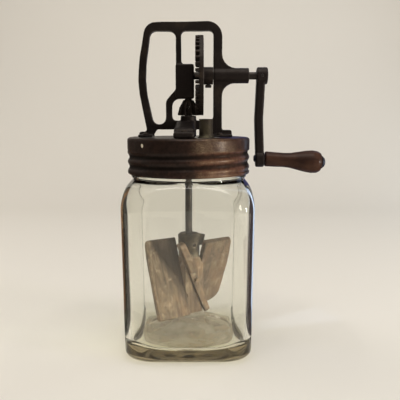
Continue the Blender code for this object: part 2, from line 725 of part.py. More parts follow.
def frame_outlines():
    """The casting seen from the front: its outer edge, the hand hole and the gear window."""
    height = FRAME_TOP - BASE
    outer = [(-GRIP_REACH * x, BASE + height * z, height * radius) for x, z, radius in GRIP_BAR_SHARES]
    rail_bottom = BASE + RAIL_HEIGHT
    rail_top = rail_bottom + RAIL_THICKNESS
    centre_top = rail_bottom + RAIL_CENTRE_THICKNESS
    left_foot_top = BASE + LEFT_FOOT_THICKNESS
    right_foot_top = BASE + RIGHT_FOOT_THICKNESS
    left_foot_end = -GRIP_REACH + LEFT_FOOT_LENGTH
    right_foot_start = POST_INNER_X - RIGHT_FOOT_SETBACK
    right_foot_end = right_foot_start + RIGHT_FOOT_LENGTH
    tube_top = CRANK_Z + TUBE_RADIUS - CAST_OVERLAP
    tube_bottom = CRANK_Z - TUBE_RADIUS + CAST_OVERLAP
    gusset_end = POST_OUTER_X + GUSSET_REACH
    hole_top = FRAME_TOP - TOP_BAR
    arch_left = -PINION_TIP_RADIUS - ARCH_CLEARANCE
    leg_left = arch_left - ARCH_BAR
    foot_bottom = BASE + FLANGE_THICKNESS / 2
    outside = [
        (-GRIP_REACH, foot_bottom, 0),
        (-GRIP_REACH, left_foot_top, SMALL_RADIUS),
        (outer[0][0], left_foot_top, SMALL_RADIUS),
        *outer,
        (POST_OUTER_X, FRAME_TOP + TOP_BAR_RISE, TOP_CORNER_RADIUS),
        (POST_OUTER_X, tube_top, GUSSET_RADIUS),
        (gusset_end, tube_top, SMALL_RADIUS),
        (gusset_end, tube_bottom, SMALL_RADIUS),
        (POST_OUTER_X, tube_bottom, LOWER_GUSSET_RADIUS),
        (POST_OUTER_X, right_foot_top, SMALL_RADIUS),
        (right_foot_end, right_foot_top, SMALL_RADIUS),
        (right_foot_end, foot_bottom, 0),
        (right_foot_start, foot_bottom, 0),
        (right_foot_start, rail_bottom, SMALL_RADIUS),
        (left_foot_end, rail_bottom, SMALL_RADIUS),
        (left_foot_end - LEFT_FOOT_SLANT, foot_bottom, 0),
    ]
    hand_hole = [
        (outer[0][0] + GRIP_BAR, rail_top, HOLE_RADIUS),
        (outer[1][0] + GRIP_BAR, outer[1][1], outer[1][2]),
        (outer[2][0] + GRIP_BAR, outer[2][1], outer[2][2]),
        (outer[3][0] + GRIP_BAR * GRIP_BAR_CORNER_SHARE, hole_top, HOLE_RADIUS),
        (-BLOCK_LEFT, hole_top, HOLE_RADIUS),
        (-BLOCK_LEFT, ARCH_TOP + ARCH_SHOULDER, HOLE_RADIUS),
        (leg_left, ARCH_TOP - SMALL_RADIUS, HOLE_RADIUS),
        (leg_left, rail_top, HOLE_RADIUS),
    ]
    window = [
        (-BLOCK_LEFT + MID_POST, hole_top, WINDOW_RADIUS),
        (POST_INNER_X, hole_top + TOP_BAR_RISE / 2, WINDOW_RADIUS),
        (POST_INNER_X, centre_top, WINDOW_RADIUS),
        (arch_left, centre_top, WINDOW_RADIUS),
        (arch_left, ARCH_TOP, ARCH_RADIUS),
        (BLOCK_RIGHT - CAST_OVERLAP, ARCH_TOP, SMALL_RADIUS),
        (BLOCK_RIGHT - CAST_OVERLAP, BLOCK_TOP - CAST_OVERLAP, SMALL_RADIUS),
        (-BLOCK_LEFT + MID_POST, BLOCK_TOP - CAST_OVERLAP, WINDOW_RADIUS),
    ]
    return [rounded_outline(corners) for corners in (outside, hand_hole, window)]


def make_legs():
    """A bridge over the centre boss whose two legs spread to pads near the lid's edge."""
    build = bmesh.new()
    pad_start = LEG_REACH - LEG_PAD_LENGTH
    pad_edge = pad_start + LEG_PAD_LENGTH * LEG_PAD_STEP_SHARE
    half_stations = (
        (LEG_REACH, LEG_WIDTH, 0.0, LEG_PAD_THICKNESS),
        (pad_edge, LEG_WIDTH, 0.0, LEG_PAD_THICKNESS),
        (pad_start, LEG_WIDTH, 0.0, LEG_PAD_THICKNESS * LEG_PAD_HEEL_SHARE),
        (BOSS_RADIUS, LEG_ROOT_WIDTH, RAIL_HEIGHT - CAST_OVERLAP, LEG_RISE),
    )
    stations = [(-reach, width, low, high) for reach, width, low, high in half_stations]
    stations += reversed(half_stations)
    rows = []
    for reach, width, low, high in stations:
        rows.append([
            build.verts.new((LEG_OFFSET - width / 2, reach, BASE + low)),
            build.verts.new((LEG_OFFSET + width / 2, reach, BASE + low)),
            build.verts.new((LEG_OFFSET + width / 2, reach, BASE + high)),
            build.verts.new((LEG_OFFSET - width / 2, reach, BASE + high)),
        ])
    build.faces.new(rows[0])
    build.faces.new(list(reversed(rows[-1])))
    for near, far in zip(rows, rows[1:]):
        for index in range(4):
            after = (index + 1) % 4
            build.faces.new((near[index], far[index], far[after], near[after]))
    bmesh.ops.recalc_face_normals(build, faces=build.faces)
    mesh = bpy.data.meshes.new("frame_legs")
    build.to_mesh(mesh)
    build.free()
    legs = place("frame_legs", mesh)
    bevel(legs, LEG_EDGE)
    return legs


def make_frame():
    """The one-piece iron casting that carries both shafts and is riveted on the lid."""
    frame = plate("gear_frame", frame_outlines(), FRAME_DEPTH, BLACK_IRON)
    frame.rotation_euler = (math.pi / 2, 0, 0)
    bevel(frame, FRAME_EDGE)
    half = BLOCK_DEPTH / 2
    block_low = (-BLOCK_LEFT - CAST_OVERLAP, -half, ARCH_TOP + CAST_OVERLAP)
    block = box("bearing_block", block_low, (BLOCK_RIGHT, half, BLOCK_TOP))
    bevel(block, BLOCK_EDGE)
    tube_start = (POST_INNER_X + CAST_OVERLAP, 0, CRANK_Z)
    tube_end = (TUBE_END_X, 0, CRANK_Z)
    tube = cylinder("bearing_tube", TUBE_RADIUS, tube_start, tube_end)
    boss = cylinder("lower_boss", BOSS_RADIUS, (0, 0, BASE), (0, 0, BOSS_TOP))
    flange_top = BASE + FLANGE_THICKNESS
    left_end = -GRIP_REACH + LEFT_FOOT_LENGTH - LEFT_FOOT_SLANT + CAST_OVERLAP
    right_start = POST_INNER_X - RIGHT_FOOT_SETBACK - CAST_OVERLAP
    right_end = right_start + RIGHT_FOOT_LENGTH + 2 * CAST_OVERLAP
    left_low = (-GRIP_REACH - CAST_OVERLAP, -FLANGE_REACH, BASE)
    right_low = (right_start, -FLANGE_REACH, BASE)
    left_flange = box("left_flange", left_low, (left_end, FLANGE_REACH, flange_top))
    right_flange = box("right_flange", right_low, (right_end, FLANGE_REACH, flange_top))
    for flange in (left_flange, right_flange):
        bevel(flange, FLANGE_EDGE, 1)
    join(frame, block, tube, boss, left_flange, right_flange, make_legs())
    bore = CRANK_SHAFT_RADIUS + RUNNING_GAP
    shaft_start = (-CRANK_SHAFT_BITE - SEAT_GAP, 0, CRANK_Z)
    shaft_end = (TUBE_END_X + CUT_OVERRUN, 0, CRANK_Z)
    cut(frame, cylinder("crank_bore", bore, shaft_start, shaft_end))
    bore = DASHER_SHAFT_RADIUS + RUNNING_GAP
    top = (0, 0, DASHER_SHAFT_TOP + SEAT_GAP)
    cut(frame, cylinder("dasher_bore", bore, (0, 0, BASE - CUT_OVERRUN), top))
    for name, x, y, head in rivet_places():
        cut(frame, rivet_hole(f"frame_{name}", x, y, head))
    shade(frame)


def gear_slots():
    """One cutter with a wedge for each gap between the crown gear's teeth."""
    build = bmesh.new()
    pitch = 2 * math.pi / GEAR_TEETH
    tip_gap = pitch / 2 - GEAR_TOOTH_TIP / GEAR_RADIUS / 2
    root_gap = pitch / 2 - GEAR_TOOTH_ROOT / GEAR_RADIUS / 2
    mouth_gap = tip_gap + (tip_gap - root_gap) * CUT_OVERRUN / GEAR_TOOTH_HEIGHT
    inner = GEAR_RADIUS - GEAR_TOOTH_LENGTH - CUT_OVERRUN
    outer = GEAR_RADIUS + CUT_OVERRUN
    for index in range(GEAR_TEETH):
        middle = pitch * index
        corners = []
        for depth, gap in ((-CUT_OVERRUN, mouth_gap), (GEAR_TOOTH_HEIGHT, root_gap)):
            for radius in (inner, outer):
                for side in (-1, 1):
                    angle = middle + side * gap
                    point = (radius * math.cos(angle), radius * math.sin(angle), depth)
                    corners.append(build.verts.new(point))
        a, b, c, d, e, f, g, h = corners
        for face in ((a, b, d, c), (e, g, h, f), (a, c, g, e), (b, f, h, d), (a, e, f, b), (c, d, h, g)):
            build.faces.new(face)
    bmesh.ops.recalc_face_normals(build, faces=build.faces)
    mesh = bpy.data.meshes.new("gear_slots")
    build.to_mesh(mesh)
    build.free()
    return place("gear_slots", mesh)


def make_drive_gear():
    """The cast crown gear: teeth on its left face, a dished web and a long hub."""
    bore = CRANK_SHAFT_RADIUS + FIT_GAP
    tooth_inner = GEAR_RADIUS - GEAR_TOOTH_LENGTH
    rim_inner = GEAR_RADIUS - GEAR_RIM_WIDTH
    rim_front = GEAR_TOOTH_HEIGHT
    rim_back = GEAR_TOOTH_HEIGHT + GEAR_RIM_THICKNESS
    web_front = rim_back - GEAR_WEB_THICKNESS
    hub_end = rim_back + GEAR_HUB_LENGTH
    profile = [
        (bore, hub_end),
        (GEAR_HUB_RADIUS, hub_end),
        (GEAR_HUB_RADIUS, rim_back),
        (GEAR_RADIUS, rim_back),
        (GEAR_RADIUS, 0),
        (tooth_inner, 0),
        (tooth_inner, rim_front),
        (rim_inner, rim_front),
        (rim_inner, web_front),
        (GEAR_HUB_RADIUS, web_front),
        (GEAR_HUB_RADIUS, rim_front),
        (bore, rim_front),
    ]
    mesh = bpy.data.meshes.new("drive_gear")
    edges = [(index, (index + 1) % len(profile)) for index in range(len(profile))]
    mesh.from_pydata([(radius, 0, distance) for radius, distance in profile], edges, [])
    gear = place("drive_gear", mesh, BLACK_IRON)
    screw = gear.modifiers.new("turn", "SCREW")
    screw.axis = "Z"
    screw.steps = GEAR_TEETH * 2
    screw.render_steps = GEAR_TEETH * 2
    screw.use_merge_vertices = True
    screw.merge_threshold = WELD_DISTANCE
    slots = gear_slots()
    for piece in (gear, slots):
        piece.location = (GEAR_TIP_X, 0, CRANK_Z)
        piece.rotation_euler = (0, math.pi / 2, 0)
    cut(gear, slots)
    middle = GEAR_BACK_X + GEAR_HUB_LENGTH / 2
    start = (middle, 0, CRANK_Z - GEAR_HUB_RADIUS - CUT_OVERRUN)
    end = (middle, 0, CRANK_Z)
    cut(gear, cylinder("gear_screw_hole", GEAR_SCREW_RADIUS + FIT_GAP, start, end, SMALL_SIDES))
    return gear


def make_gear_screw():
    """A square-headed screw in the gear's hub, whose end holds the crank shaft."""
    middle = GEAR_BACK_X + GEAR_HUB_LENGTH / 2
    head_top = CRANK_Z - GEAR_HUB_RADIUS - SEAT_GAP
    head_bottom = head_top - GEAR_SCREW_HEAD_HEIGHT
    half = GEAR_SCREW_HEAD_WIDTH / 2
    low = (middle - half, -half, head_bottom)
    screw = box("gear_screw", low, (middle + half, half, head_top), SHAFT_STEEL)
    bevel(screw, GEAR_SCREW_EDGE, 1)
    start = (middle, 0, head_top - GEAR_SCREW_HEAD_HEIGHT / 2)
    end = (middle, 0, CRANK_Z - CRANK_SHAFT_RADIUS - FIT_GAP)
    join(screw, cylinder("gear_screw_shank", GEAR_SCREW_RADIUS, start, end, SMALL_SIDES))
    return screw


def cross_pin(name, radius, centre, direction, reach, material):
    """A short pin through a hub and its shaft, ending just inside the hub's surface."""
    centre = Vector(centre)
    along = Vector(direction) * (reach - SEAT_GAP)
    return cylinder(name, radius, centre - along, centre + along, PIN_SIDES, material)


def make_pinion():
    """A bullet-shaped pinion whose ten teeth fade into its rounded top."""
    build = bmesh.new()
    core = (PINION_ROOT_RADIUS + DASHER_SHAFT_RADIUS) / 2
    for index in range(PINION_TEETH):
        angle = 2 * math.pi * index / PINION_TEETH
        rows = []
        for along, share in PINION_TIP_SHARES:
            row = []
            tip = max(PINION_TIP_RADIUS * share, core + FIT_GAP)
            for x, y in ((core, -PINION_TOOTH_ROOT / 2), (tip, -PINION_TOOTH_TIP / 2),
                         (tip, PINION_TOOTH_TIP / 2), (core, PINION_TOOTH_ROOT / 2)):
                row.append(build.verts.new((
                    x * math.cos(angle) - y * math.sin(angle),
                    x * math.sin(angle) + y * math.cos(angle),
                    PINION_BOTTOM + PINION_LENGTH * along,
                )))
            rows.append(row)
        build.faces.new(list(reversed(rows[0])))
        build.faces.new(rows[-1])
        for low, high in zip(rows, rows[1:]):
            for corner in range(4):
                after = (corner + 1) % 4
                build.faces.new((low[corner], low[after], high[after], high[corner]))
    bmesh.ops.recalc_face_normals(build, faces=build.faces)
    mesh = bpy.data.meshes.new("pinion_teeth")
    build.to_mesh(mesh)
    build.free()
    teeth = place("pinion_teeth", mesh)
    bore = DASHER_SHAFT_RADIUS + FIT_GAP
    profile = [
        (PINION_ROOT_RADIUS * share, PINION_BOTTOM + PINION_LENGTH * along)
        for along, share in reversed(PINION_ROOT_SHARES)
    ]
    profile += [(bore, PINION_BOTTOM), (bore, PINION_TOP)]
    pinion = turned("pinion_gear", profile, (0, 0, 0), Z_AXIS, ROUND_SIDES, BLACK_IRON)
    join(pinion, teeth)
    middle = PINION_BOTTOM + PINION_LENGTH * PINION_PIN_SHARE
    reach = PINION_ROOT_RADIUS + CUT_OVERRUN
    hole = cross_pin("pinion_pin_hole", PINION_PIN_RADIUS + FIT_GAP, (0, 0, middle), Y_AXIS, reach, None)
    cut(pinion, hole)
    flat = PINION_ROOT_RADIUS * PINION_ROOT_SHARES[1][1] - FIT_GAP
    pin = cross_pin("pinion_pin", PINION_PIN_RADIUS, (0, 0, middle), Y_AXIS, flat, SHAFT_STEEL)
    return pinion, pin, hole


def make_crank():
    """The crank shaft, the gear screwed on it, and the bent arm pinned on its end."""
    gear = make_drive_gear()
    shaft_end = ARM_INNER_X + ARM_BOSS_LENGTH
    start = (-CRANK_SHAFT_BITE, 0, CRANK_Z)
    end = (shaft_end, 0, CRANK_Z)
    shaft = cylinder("crank_shaft", CRANK_SHAFT_RADIUS, start, end, ROUND_SIDES, SHAFT_STEEL)
    arm_pin_x = ARM_INNER_X + ARM_BOSS_LENGTH / 2
    place_of_pin = (arm_pin_x, 0, CRANK_Z)
    arm_pin = cross_pin("crank_pin", ARM_PIN_RADIUS, place_of_pin, Y_AXIS, ARM_BOSS_RADIUS, SHAFT_STEEL)
    arm_hole = cross_pin("arm_pin_hole", ARM_PIN_RADIUS + FIT_GAP, place_of_pin, Y_AXIS,
                         ARM_BOSS_RADIUS + CUT_OVERRUN, None)
    cut(shaft, arm_hole)

    bend_z = CRANK_Z - CRANK_RADIUS * ARM_BEND_SHARE
    outline = [
        (ARM_INNER_X, CRANK_Z, 0),
        (ARM_INNER_X - ARM_BEND, bend_z, CRANK_RADIUS),
        (ARM_INNER_X, HANDLE_Z, 0),
        (ARM_OUTER_X, HANDLE_Z, 0),
        (ARM_OUTER_X - ARM_BEND, bend_z, CRANK_RADIUS),
        (ARM_OUTER_X, CRANK_Z, 0),
    ]
    arm = plate("crank_arm", [rounded_outline(outline, ARM_BEND_STEP)], ARM_WIDTH, BLACK_IRON)
    arm.rotation_euler = (math.pi / 2, 0, 0)
    bevel(arm, ARM_EDGE)
    boss = cylinder("arm_boss", ARM_BOSS_RADIUS, (ARM_INNER_X, 0, CRANK_Z), end)
    eye = cylinder("arm_eye", ARM_EYE_RADIUS, (ARM_INNER_X, 0, HANDLE_Z), GRIP_PLACE)
    for thick in (boss, eye):
        bevel(thick, ARM_BOSS_EDGE, 1)
    join(arm, boss, eye)
    low = (ARM_INNER_X - CUT_OVERRUN, 0, CRANK_Z)
    high = (shaft_end + CUT_OVERRUN, 0, CRANK_Z)
    cut(arm, cylinder("arm_bore", CRANK_SHAFT_RADIUS + FIT_GAP, low, high))
    low = GRIP_PLACE - GRIP_DIRECTION * (ARM_THICKNESS + CUT_OVERRUN)
    high = GRIP_PLACE + GRIP_DIRECTION * CUT_OVERRUN
    cut(arm, cylinder("arm_eye_bore", BOLT_RADIUS + FIT_GAP, low, high, SMALL_SIDES))
    cut(arm, arm_hole)
    shade(arm)
    return [shaft, gear, make_gear_screw(), arm, arm_pin]


def make_handle():
    """The fixed bolt with its washer, and the grip that turns on it."""
    tilt_room = BOLT_TAIL_RADIUS * math.sin(GRIP_DROOP)
    tail = -ARM_THICKNESS / math.cos(GRIP_DROOP) - tilt_room - SEAT_GAP
    washer_start = GRIP_END + SEAT_GAP
    head = washer_start + WASHER_THICKNESS + SEAT_GAP
    profile = [
        (BOLT_HEAD_RADIUS * across, head + BOLT_HEAD_HEIGHT * along)
        for across, along in BOLT_HEAD_SHARES
    ]
    profile += [
        (BOLT_RADIUS, head),
        (BOLT_RADIUS, tail),
        (BOLT_TAIL_RADIUS, tail),
        (BOLT_TAIL_TIP_RADIUS, tail - BOLT_TAIL_HEIGHT),
        (0, tail - BOLT_TAIL_HEIGHT),
    ]
    bolt = turned("handle_bolt", profile, GRIP_PLACE, GRIP_DIRECTION, BOLT_SIDES, BOLT_STEEL)
    bore = BOLT_RADIUS + SEAT_GAP
    washer_end = washer_start + WASHER_THICKNESS
    profile = [
        (WASHER_RADIUS, washer_end),
        (WASHER_RADIUS, washer_start),
        (bore, washer_start),
        (bore, washer_end),
    ]
    washer = turned("handle_washer", profile, GRIP_PLACE, GRIP_DIRECTION, BOLT_SIDES, BOLT_STEEL)
    profile = [(GRIP_RADIUS * radius, GRIP_START + GRIP_LENGTH * along) for along, radius in GRIP_SHARES]
    profile.reverse()
    bore = BOLT_RADIUS + RUNNING_GAP
    profile += [(bore, GRIP_START), (bore, GRIP_END)]
    grip = turned("handle_grip", profile, GRIP_PLACE, GRIP_DIRECTION, ROUND_SIDES, GRIP_WOOD)
    return [bolt, washer], grip


def paddle_direction(quarter):
    """The outward direction of one core face, counted in quarter turns from the right-hand one."""
    angle = DASHER_TURN + math.pi / 2 * quarter
    return Vector((math.cos(angle), math.sin(angle), 0))


def make_paddle(name, quarter, skew, radius, lower_corner, grow=0.0, material=None):
    """One slanted board, from its groove in the core to its outer end."""
    inner = CORE_WIDTH / 2 - PADDLE_GROOVE - grow
    half = PADDLE_LENGTH / 2 + grow
    corners = [
        (inner, -half, PADDLE_INNER_CORNER),
        (radius, -half, lower_corner),
        (radius, half, min(PADDLE_CORNER, (radius - inner) * PADDLE_CORNER_LIMIT_SHARE)),
        (inner, half, PADDLE_INNER_CORNER),
    ]
    paddle = plate(name, [rounded_outline(corners)], PADDLE_THICKNESS + 2 * grow, material)
    paddle.location = (0, 0, PADDLE_MIDDLE)
    turn = DASHER_TURN + math.pi / 2 * quarter + skew
    paddle.rotation_euler = (math.pi / 2 + PADDLE_PITCH, 0, turn)
    if material is not None:
        bevel(paddle, PADDLE_EDGE, 1)
    return paddle


def make_dasher():
    """Everything that turns in the jar: shaft, pinion, hub, core, dowels and paddles."""
    pinion, pinion_pin, pinion_hole = make_pinion()
    bottom = (0, 0, DASHER_SHAFT_BOTTOM)
    top = (0, 0, DASHER_SHAFT_TOP)
    shaft = cylinder("dasher_shaft", DASHER_SHAFT_RADIUS, bottom, top, ROUND_SIDES, SHAFT_STEEL)
    cut(shaft, pinion_hole)

    around_shaft = DASHER_SHAFT_RADIUS + FIT_GAP
    inner_top = HUB_TOP - HUB_TOP_THICKNESS
    profile = [
        (around_shaft, HUB_TOP),
        (HUB_RADIUS - HUB_EDGE, HUB_TOP),
        (HUB_RADIUS, HUB_TOP - HUB_EDGE),
        (HUB_BOTTOM_RADIUS, HUB_BOTTOM),
        (HUB_BOTTOM_RADIUS - HUB_WALL, HUB_BOTTOM),
        (HUB_BOTTOM_RADIUS - HUB_WALL, inner_top),
        (around_shaft, inner_top),
    ]
    hub = turned("dasher_hub", profile, (0, 0, 0), Z_AXIS, ROUND_SIDES, HUB_METAL)
    reach_share, drop_share = HUB_EAR_LOWER_SHARES
    ear_outline = [
        (HUB_RADIUS - HUB_EDGE, 0, 0),
        (HUB_RADIUS + HUB_EAR_REACH, -HUB_EDGE / 2, HUB_EDGE / 2),
        (HUB_RADIUS + HUB_EAR_REACH * reach_share, -HUB_EAR_HEIGHT * drop_share, HUB_EDGE),
        (HUB_RADIUS - HUB_EDGE, -HUB_EAR_HEIGHT, 0),
    ]
    ear = plate("hub_ear", [rounded_outline(ear_outline)], HUB_EAR_THICKNESS)
    ear.location = (0, 0, HUB_TOP - HUB_EAR_DROP)
    ear.rotation_euler = (math.pi / 2, 0, DASHER_TURN + HUB_EAR_TURN)
    join(hub, ear)

    low = PADDLE_BOTTOM + CORE_BELOW_PADDLES
    half = CORE_WIDTH / 2
    shoulder = HUB_BOTTOM - SEAT_GAP
    tenon = HUB_BOTTOM_RADIUS - HUB_WALL - SEAT_GAP
    tenon_top = inner_top - SEAT_GAP
    rings = [
        ring(half - CORE_EDGE / 2, CORE_EDGE, low, DASHER_TURN),
        ring(half, CORE_EDGE, low + CORE_EDGE / 2, DASHER_TURN),
    ]
    for drop_share, corner_share in CORE_SHOULDER_SHARES:
        height = shoulder - CORE_SHOULDER_HEIGHT * drop_share
        rings.append(ring(half, half * corner_share, height, DASHER_TURN))
    rings += [
        ring(HUB_BOTTOM_RADIUS, HUB_BOTTOM_RADIUS, shoulder, DASHER_TURN),
        ring(tenon, tenon, shoulder, DASHER_TURN),
        ring(tenon, tenon, tenon_top, DASHER_TURN),
    ]
    core = loft("dasher_core", rings, PADDLE_WOOD)
    end = (0, 0, DASHER_SHAFT_BOTTOM - SEAT_GAP)
    cut(core, cylinder("core_shaft_bore", around_shaft, end, (0, 0, tenon_top + CUT_OVERRUN)))

    pin_direction = paddle_direction(-1)
    pin_place = (0, 0, HUB_TOP - HUB_PIN_DROP)
    hub_pin = cross_pin("hub_pin", HUB_PIN_RADIUS, pin_place, pin_direction, HUB_RADIUS, SHAFT_STEEL)
    hub_hole = cross_pin("hub_pin_hole", HUB_PIN_RADIUS + FIT_GAP, pin_place, pin_direction,
                         HUB_RADIUS + CUT_OVERRUN, None)
    cut(hub, hub_hole)
    cut(core, hub_hole)
    cut(shaft, hub_hole)

    room_bottom = (0, 0, HUB_BOTTOM - SEAT_GAP)
    room_top = (0, 0, HUB_TOP + CUT_OVERRUN)
    hub_room = cylinder("hub_room", HUB_RADIUS + SEAT_GAP, room_bottom, room_top)
    pieces = [shaft, pinion, pinion_pin, hub, hub_pin, core]
    blunt = PADDLE_CORNER / 2
    broad = (("right", 0, PADDLE_WORN_CORNER), ("left", 0, blunt))
    narrow = (("front", FRONT_PADDLE_SKEW, blunt), ("back", 0, blunt))
    pairs = (
        ("broad", 0, BROAD_PADDLE_RADIUS, DOWEL_STEP, broad),
        ("narrow", -1, NARROW_PADDLE_RADIUS, -DOWEL_STEP, narrow),
    )
    for pair, quarter, radius, step, boards in pairs:
        reach = CORE_WIDTH / 2 + DOWEL_BITE
        height = Vector((0, 0, PADDLE_MIDDLE + step))
        along = paddle_direction(quarter)
        pieces.append(cross_pin(f"{pair}_dowel", DOWEL_RADIUS, height, along, reach, PADDLE_WOOD))
        hole = cross_pin(f"{pair}_dowel_hole", DOWEL_RADIUS + FIT_GAP, height, along, reach + SEAT_GAP, None)
        cut(core, hole)
        for half_turn, (side, skew, lower_corner) in enumerate(boards):
            where = quarter + 2 * half_turn
            groove = make_paddle(f"{side}_groove", where, skew, radius, PADDLE_INNER_CORNER, SEAT_GAP)
            cut(core, groove)
            paddle = make_paddle(f"paddle_{side}", where, skew, radius, lower_corner, 0, PADDLE_WOOD)
            cut(paddle, hole, hub_room)
            pieces.append(paddle)
    return pieces


make_jar()
make_lid()
make_vent()
make_frame()
make_rivets()
crank_pieces = make_crank()
bolt_pieces, grip_piece = make_handle()
dasher_pieces = make_dasher()
hang(crank_pieces + bolt_pieces, "crank_axis", (0, 0, CRANK_Z))
hang([grip_piece], "grip_axis", GRIP_PLACE)
hang(dasher_pieces, "dasher_axis", (0, 0, 0))
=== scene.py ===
"""The looks of a hand-cranked glass butter churn, section by section as it is put together.

Metres, +Z up. The crank is on +X, and the front faces -Y.
"""

import math

import bmesh
import bpy
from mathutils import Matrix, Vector, noise


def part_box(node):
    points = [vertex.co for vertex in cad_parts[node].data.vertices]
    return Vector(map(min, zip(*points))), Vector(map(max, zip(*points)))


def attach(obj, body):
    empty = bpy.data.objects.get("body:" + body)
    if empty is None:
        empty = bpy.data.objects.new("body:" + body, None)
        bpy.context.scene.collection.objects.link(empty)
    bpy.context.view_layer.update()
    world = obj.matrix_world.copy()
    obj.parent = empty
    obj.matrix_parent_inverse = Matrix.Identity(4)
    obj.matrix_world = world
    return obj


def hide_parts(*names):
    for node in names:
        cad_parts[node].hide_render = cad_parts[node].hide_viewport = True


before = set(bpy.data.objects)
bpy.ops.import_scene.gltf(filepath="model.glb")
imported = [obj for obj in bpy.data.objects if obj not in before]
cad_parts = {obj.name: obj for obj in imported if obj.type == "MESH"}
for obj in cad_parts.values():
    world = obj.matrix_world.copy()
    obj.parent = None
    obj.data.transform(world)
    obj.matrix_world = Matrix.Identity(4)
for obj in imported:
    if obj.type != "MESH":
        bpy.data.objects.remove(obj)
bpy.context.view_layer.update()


# The jar is one piece of pressed glass with square sides, a round shoulder and a screw neck. Its walls are a
# little uneven inside, its heel is thick, and its underside is pushed up, so that it stands on an outer ring.
JAR_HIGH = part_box("jar")[1]
LID_LOW, LID_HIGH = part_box("lid")
JAR_HALF = JAR_HIGH.x
JAR_TAPER = 0.0015
JAR_CORNER = 0.020
JAR_WALL = 0.0045
INNER_CORNER = 0.0215
JAR_FLOOR = 0.012
FOOT_HALF = 0.058
FOOT_CORNER = 0.030
HEEL_HEIGHT = 0.011
FLOOR_RADIUS = 0.054
FLOOR_FILLET = 0.013
BODY_TOP = 0.158
SHOULDER_HEIGHT = 0.0275
BROW_TURN = math.radians(75)
NECK_RADIUS = 0.061
NECK_RING_HEIGHT = 0.0035
NECK_RING_DEPTH = 0.0018
RIM_ROUNDING = 0.0014
PUNT_RADIUS = 0.046
PUNT_HEIGHT = 0.0024
PUNT_SHARES = (0.12, 0.3, 0.5, 0.7, 0.85, 0.95)
PUNT_EDGE_SHARE = 0.12
FLOOR_DOME_RADIUS = 0.030
FLOOR_DOME_HEIGHT = 0.0022
MOAT_RADIUS = 0.0505
MOAT_WIDTH = 0.0018
MOAT_DEPTH = 0.0009
RIPPLE_DEPTH = 0.00022
RIPPLE_SCALE = 26.0
THREAD_PITCH = 0.0103
THREAD_START = LID_LOW.z + 0.0027
THREAD_FADE = 0.002
JAR_THREAD_LOW = LID_LOW.z - 0.0015
JAR_THREAD_TOP = LID_HIGH.z - 0.0125
JAR_THREAD_HEIGHT = 0.0018
AROUND = 256
ROUND_STEPS = 14
OUTER_STEPS = 28
INNER_STEPS = 40
SHOULDER_STEPS = 16
NECK_STEPS = 60
MOUTH_STEPS = 20
SHORT_STEPS = 8
CORNER_CROWDING = 0.12
GLASS_TINT = (0.985, 0.995, 0.975, 1.0)
GLASS_DEPTH_TINT = (0.68, 0.62, 0.46, 1.0)
GLASS_DEPTH_DENSITY = 24.0
GLASS_SHADE = (0.90, 0.92, 0.88, 1.0)
GLASS_IOR = 1.5
MILK_HAZE = (0.215, 0.160, 0.095, 1.0)
FILM_RADIUS = 0.0605
FILM_HEIGHT = 0.008
FILM_SOFT = 0.003


class Wire:
    """A node's output that can stand in a formula, where each operator adds a Math node."""

    def __init__(self, socket):
        self.socket = socket
        self.tree = socket.id_data

    def output(self, name):
        return Wire(self.socket.node.outputs[name])

    def parts(self):
        """The X, Y and Z of a place or a direction."""
        apart = add_node(self.tree, "ShaderNodeSeparateXYZ", {}, {"Vector": self})
        return [apart.output(name) for name in "XYZ"]

    def maths(self, operation, *values):
        return add_node(self.tree, "ShaderNodeMath", {"operation": operation}, dict(enumerate(values)))

    def __add__(self, other):
        return self.maths("ADD", self, other)

    def __radd__(self, other):
        return self.maths("ADD", other, self)

    def __sub__(self, other):
        return self.maths("SUBTRACT", self, other)

    def __rsub__(self, other):
        return self.maths("SUBTRACT", other, self)

    def __mul__(self, other):
        return self.maths("MULTIPLY", self, other)

    def __rmul__(self, other):
        return self.maths("MULTIPLY", other, self)

    def __truediv__(self, other):
        return self.maths("DIVIDE", self, other)

    def __pow__(self, other):
        return self.maths("POWER", self, other)

    def step(self, low, high):
        """Rises smoothly from 0 at low to 1 at high."""
        settings = {"interpolation_type": "SMOOTHSTEP"}
        return add_node(self.tree, "ShaderNodeMapRange", settings,
                        {"Value": self, "From Min": low, "From Max": high})

    def within(self, low, high, soft):
        """Is 1 between low and high and fades to 0 over a soft edge on both sides."""
        return self.step(low - soft, low) * (1 - self.step(high, high + soft))


def add_node(tree, kind, settings=None, inputs=None):
    """Add one node, set it up, then give each named socket its value or its link."""
    made = tree.nodes.new(kind)
    for name, value in (settings or {}).items():
        setattr(made, name, value)
    for key, value in (inputs or {}).items():
        if isinstance(key, int):
            socket = made.inputs[key]
        else:
            socket = next(s for s in made.inputs if s.name == key and s.enabled)
        if isinstance(value, Wire):
            tree.links.new(value.socket, socket)
        else:
            socket.default_value = value
    shown = [socket for socket in made.outputs if socket.enabled]
    return Wire(shown[0]) if shown else None


def blend_colours(share, first, second):
    """The first colour where share is 0 and the second where it is 1."""
    return add_node(share.tree, "ShaderNodeMix", {"data_type": "RGBA"},
                    {"Factor": share, "A": first, "B": second})


def grain(place, scale, detail=4.0, roughness=0.55, stretch=(1.0, 1.0, 1.0)):
    """Soft noise between 0 and 1 at a place, drawn out along the axes that stretch makes small."""
    moved = add_node(place.tree, "ShaderNodeMapping", {}, {"Vector": place, "Scale": stretch})
    return add_node(place.tree, "ShaderNodeTexNoise", {},
                    {"Vector": moved, "Scale": scale, "Detail": detail, "Roughness": roughness})


def start_finish(name):
    """A new material with an empty tree, and the place on the piece that its patterns read."""
    material = bpy.data.materials.new(name)
    material.use_nodes = True
    material.node_tree.nodes.clear()
    place = add_node(material.node_tree, "ShaderNodeTexCoord").output("Object")
    return material, place


